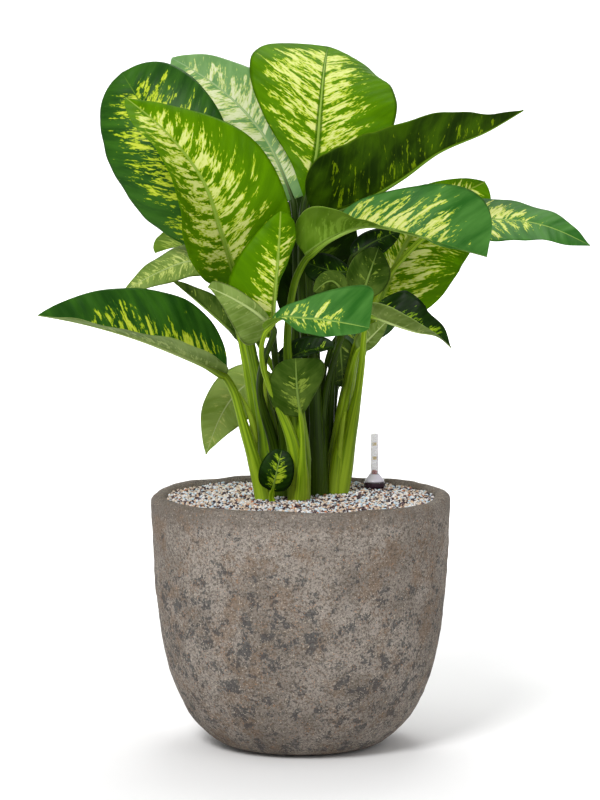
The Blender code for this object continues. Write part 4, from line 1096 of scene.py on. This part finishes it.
def build_granules(surface, bed_surface):
    rng = np.random.default_rng(11)
    reach = wall_radius(GRANULE_TOP) - 0.0012
    pitch = math.sqrt(math.pi * reach ** 2 / GRANULE_COUNT * 2 / math.sqrt(3))
    grid = []
    rows = int(reach / (pitch * math.sqrt(3) / 2)) + 2
    for row in range(-rows, rows + 1):
        for column in range(-rows - 12, rows + 13):
            x = (column + 0.5 * (row % 2)) * pitch
            y = row * pitch * math.sqrt(3) / 2
            grid.append((x, y))
    grid = np.array(grid) + rng.normal(0, pitch * 0.20, (len(grid), 2))
    keep = np.hypot(grid[:, 0], grid[:, 1]) < reach
    for cane in CANES.values():
        away = np.hypot(grid[:, 0] - cane.foot_x, grid[:, 1] - cane.foot_y)
        keep &= away > cane.foot_radius * 0.80
    keep &= np.hypot(grid[:, 0] - GAUGE_X, grid[:, 1] - GAUGE_Y) > COLLAR_RADIUS - 0.001
    grid = grid[keep]
    count = len(grid)
    size = between(*GRANULE_SIZES, rng.beta(2.0, 2.2, count))
    lift = rng.uniform(-0.0013, 0.0006, count)
    kinds, faces = round_stones(rng)
    pick = rng.integers(0, len(kinds), count)
    spin = unit(rng.normal(0, 1, (count, 4)))
    w, x, y, z = spin.T
    turn = np.stack([1 - 2 * (y * y + z * z), 2 * (x * y - z * w), 2 * (x * z + y * w),
                     2 * (x * y + z * w), 1 - 2 * (x * x + z * z), 2 * (y * z - x * w),
                     2 * (x * z - y * w), 2 * (y * z + x * w), 1 - 2 * (x * x + y * y)],
                    axis=-1).reshape(count, 3, 3)
    shapes = np.stack(kinds)[pick] * size[:, None, None]
    points = np.einsum("nij,nkj->nki", turn, shapes)
    heap = 0.0009 * np.sin(grid[:, 0] * 55 + 1) * np.sin(grid[:, 1] * 48 + 2)
    centre = np.column_stack([grid, GRANULE_TOP - 0.0010 + lift + heap])
    points = points + centre[:, None, :]
    many = (faces[None] + (np.arange(count) * points.shape[1])[:, None, None]).reshape(-1, 3)
    stones = new_piece("granule_stones", points.reshape(-1, 3), [tuple(map(int, f)) for f in many],
                       [surface], PLANT, ["granules"])
    chances = rng.uniform(0, 1, (count, 3))
    set_vectors(stones.data, "stone", np.repeat(chances, points.shape[1], axis=0))
    bed = [(0.0, BED_TOP), (reach, BED_TOP), (wall_radius(GRANULE_BOTTOM) - 0.0008, GRANULE_BOTTOM),
           (0.0, GRANULE_BOTTOM)]
    turned("granule_bed", bed, BED_STEPS, bed_surface, PLANT, "granules")


# ---- water level gauge -------------------------------------------------------------
def build_gauge(glass, cone_paint, collar_paint, tip_paint, mark_paint):
    here = (GAUGE_X, GAUGE_Y)
    bore = WELL_RADIUS + 0.0006

    def grip(angle, radius, height):
        """The collar's side carries shallow finger grooves."""
        on_side = radius > COLLAR_RADIUS - 0.0004
        return (GRIP_DEPTH * math.sin(GRIP_GROOVES * angle) if on_side else 0.0), 0.0

    collar = [(bore, COLLAR_TOP), (COLLAR_RADIUS - 0.0012, COLLAR_TOP),
              (COLLAR_RADIUS - 0.0005, COLLAR_TOP - 0.0002), (COLLAR_RADIUS, COLLAR_TOP - 0.0008)]
    collar += [(COLLAR_RADIUS, z) for z in np.linspace(COLLAR_TOP - 0.0016, COLLAR_BOTTOM + 0.002, 6)]
    collar += [(COLLAR_RADIUS - 0.0007, COLLAR_BOTTOM + 0.0006), (COLLAR_RADIUS - 0.0013, COLLAR_BOTTOM),
               (bore, COLLAR_BOTTOM)]
    turned("gauge_collar_ring", collar, GAUGE_STEPS, collar_paint, PLANT, "gauge_collar",
           here, grip)
    neck = TUBE_RADIUS + 0.0004
    slope = finer([(0.0063, CONE_TOP - 0.0004), (0.0070, 0.3064), (0.0089, 0.3040), (0.0107, 0.3018),
                   (0.0114, 0.3006), (0.0116, 0.2997)], 0.0005)
    cone = [(neck, CONE_TOP - 0.0003), (neck + 0.0003, CONE_TOP), (0.0061, CONE_TOP)] + slope
    cone += [(0.0116, COLLAR_TOP + 0.0007), (0.0113, COLLAR_TOP + 0.0004), (neck, COLLAR_TOP + 0.0004)]
    turned("gauge_cone_cap", cone, GAUGE_STEPS, cone_paint, PLANT, "gauge_cone", here)
    dome = [(0.0, TUBE_TOP), (0.0016, TUBE_TOP - 0.00005), (0.0028, TUBE_TOP - 0.0003),
            (0.0046, TUBE_TOP - 0.0008), (TUBE_RADIUS, TUBE_TOP - 0.0016)]
    inside = [(TUBE_BORE, TUBE_TOP - 0.0024), (0.0026, TUBE_TOP - 0.0016), (0.0, TUBE_TOP - 0.0013)]
    tube = dome + [(TUBE_RADIUS, TUBE_BOTTOM), (TUBE_BORE, TUBE_BOTTOM)] + inside
    turned("gauge_sight_tube", tube, GAUGE_STEPS, glass, PLANT, "gauge_tube", here)
    tip = [(0.0, TIP_TOP), (0.0010, TIP_TOP - 0.0001), (0.0017, TIP_TOP - 0.0005),
           (TIP_RADIUS, TIP_TOP - 0.0013), (TIP_RADIUS, TIP_BOTTOM + 0.0004),
           (TIP_RADIUS - 0.0004, TIP_BOTTOM), (0.0013, TIP_BOTTOM), (0.0013, TIP_TOP - 0.0014),
           (0.0, TIP_TOP - 0.0014)]
    turned("gauge_red_tip", tip, GAUGE_STEPS, tip_paint, FLOAT, "gauge_tip", here)
    for number, height in enumerate(LEVEL_MARKS):
        for line, (rise, half_turn) in enumerate(MARK_BARS):
            name = "level_mark_%d_%d" % (number + 1, line + 1)
            build_mark(name, height + rise, half_turn, mark_paint)


def build_mark(name, height, half_turn, surface):
    """A raised printed bar on the front of the tube."""
    low, high = TUBE_RADIUS + 0.00002, TUBE_RADIUS + 0.00014
    half = BAR_HALF_HEIGHT
    points = []
    for turn in np.linspace(-np.pi / 2 - half_turn, -np.pi / 2 + half_turn, BAR_STEPS):
        for radius, z in ((low, -half), (high, -half), (high, half), (low, half)):
            points.append((GAUGE_X + radius * math.cos(turn), GAUGE_Y + radius * math.sin(turn),
                           height + z))
    face_outwards(new_piece(name, points, ring_faces(BAR_STEPS, 4), [surface], PLANT,
                            flat=True))


# ---- studio ------------------------------------------------------------------------
FLOOR_LEVEL = -0.0003      # just under the planter's foot
FLOOR_NEAR = -12.0
FLOOR_HALF_WIDTH = 14.0
BEND_START = 9.5           # from here the floor curves up into the wall
BEND_RADIUS = 2.0
WALL_TOP = 8.0
WORLD_LIGHT = 0.50
# name: place, what it points at, size across, power
LIGHTS = {
    "key": ((-1.1, -2.5, 2.5), (0, 0, 0.45), 1.1, 78),
    "fill": ((2.4, -2.2, 1.2), (0, 0, 0.4), 2.0, 7),
    "top": ((0.2, 0.9, 2.4), (0, 0, 0.5), 1.2, 18),
    "backdrop": ((0.0, 4.5, 5.0), (0, 9.0, 0.3), 3.5, 640),
}
CAMERA_PLACE = (-0.001, -4.0, 0.835)
CAMERA_TILT = 6.13         # degrees below level
CAMERA_LENS = 154.8


def area_light(name, place, target, size, power):
    lamp = bpy.data.lights.new(name, "AREA")
    lamp.shape = "DISK"
    lamp.size = size
    lamp.energy = power
    item = placed(name, lamp)
    item.location = place
    item.rotation_euler = (Vector(target) - Vector(place)).to_track_quat("-Z", "Y").to_euler()


def build_studio():
    """A pale floor that curves up far behind, soft lights, and the camera."""
    paint = Paint("studio_floor")
    cloud = paint.noise(paint.position(), 1.5, 2.0)
    paint.finish(paint.mix(cloud, (0.95, 0.95, 0.95), (0.97, 0.97, 0.97)), 0.9)
    side = [(FLOOR_NEAR, FLOOR_LEVEL), (BEND_START, FLOOR_LEVEL)]
    for turn in np.radians(range(10, 91, 10)):
        side.append((BEND_START + BEND_RADIUS * math.sin(turn), BEND_RADIUS - BEND_RADIUS * math.cos(turn)))
    side.append((BEND_START + BEND_RADIUS, WALL_TOP))
    points = [(x, y, z) for y, z in side for x in (-FLOOR_HALF_WIDTH, FLOOR_HALF_WIDTH)]
    faces = [(2 * i, 2 * i + 1, 2 * i + 3, 2 * i + 2) for i in range(len(side) - 1)]
    mesh = bpy.data.meshes.new("studio_floor")
    mesh.from_pydata(points, [], faces)
    mesh.materials.append(paint.material)
    floor = placed("studio_floor", mesh)
    world = bpy.data.worlds.new("studio")
    world.use_nodes = True
    world.node_tree.nodes["Background"].inputs[0].default_value = (1, 1, 1, 1)
    world.node_tree.nodes["Background"].inputs[1].default_value = WORLD_LIGHT
    bpy.context.scene.world = world
    bpy.context.scene.view_settings.view_transform = "Standard"
    for name, settings in LIGHTS.items():
        area_light(name, *settings)
    camera = bpy.data.cameras.new("camera")
    camera.lens = CAMERA_LENS
    camera.sensor_width = 36.0
    camera.clip_end = 100.0
    item = placed("camera", camera)
    item.location = CAMERA_PLACE
    item.rotation_euler = (math.radians(90 - CAMERA_TILT), 0.0, 0.0)
    bpy.context.scene.camera = item


def build():
    tops = {name: leaf_top(name) for name in LOOKS}
    unders = {name: leaf_under(name) for name in LOOKS}
    stalks = {}
    stem = stalk_paint("cane_green", STALK_TONES["green"], STALK_TONES["green"][1])
    # Dark greens for the inner canes: painted shade.
    shaded_stem = stalk_paint("cane_painted_shade", STALK_TONES["dark"], STALK_TONES["dark"][1])
    tip = stalk_paint("sheath_green", STALK_TONES["bright"], STALK_TONES["bright"][1])
    build_studio()
    build_planter(clay_paint())
    build_granules(granule_paint(), earth_paint("granule_shadow", tint(34, 26, 28), tint(84, 72, 70)))
    build_canes(stem, shaded_stem)
    for number, design in enumerate(LEAVES):
        build_leaf(design, number, tops, unders, stalks)
    build_sheath_tips(tip)
    glass = moulded("clear_tube", (0.62, 0.60, 0.62), 0.30, 0.02, Alpha=0.30, Specular_IOR_Level=0.1)
    frosted = moulded("frosted_cap", (0.80, 0.76, 0.86), 0.16, 0.10)
    plum = moulded("plum_plastic", tint(52, 30, 44), 0.22, 0.3)
    red = moulded("red_plastic", tint(206, 30, 0), 0.30)
    amber = moulded("amber_print", tint(214, 182, 60), 0.5)
    build_gauge(glass, frosted, plum, red, amber)
    inner_finishes = {
        "soil": earth_paint("potting_soil", tint(40, 30, 22), tint(76, 58, 42)),
        "gauge_well": glass,
        "gauge_float": moulded("float_foam", (0.82, 0.82, 0.78), 0.5),
    }
    for name, paint in inner_finishes.items():
        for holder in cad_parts[name].material_slots:
            holder.material = paint


build()
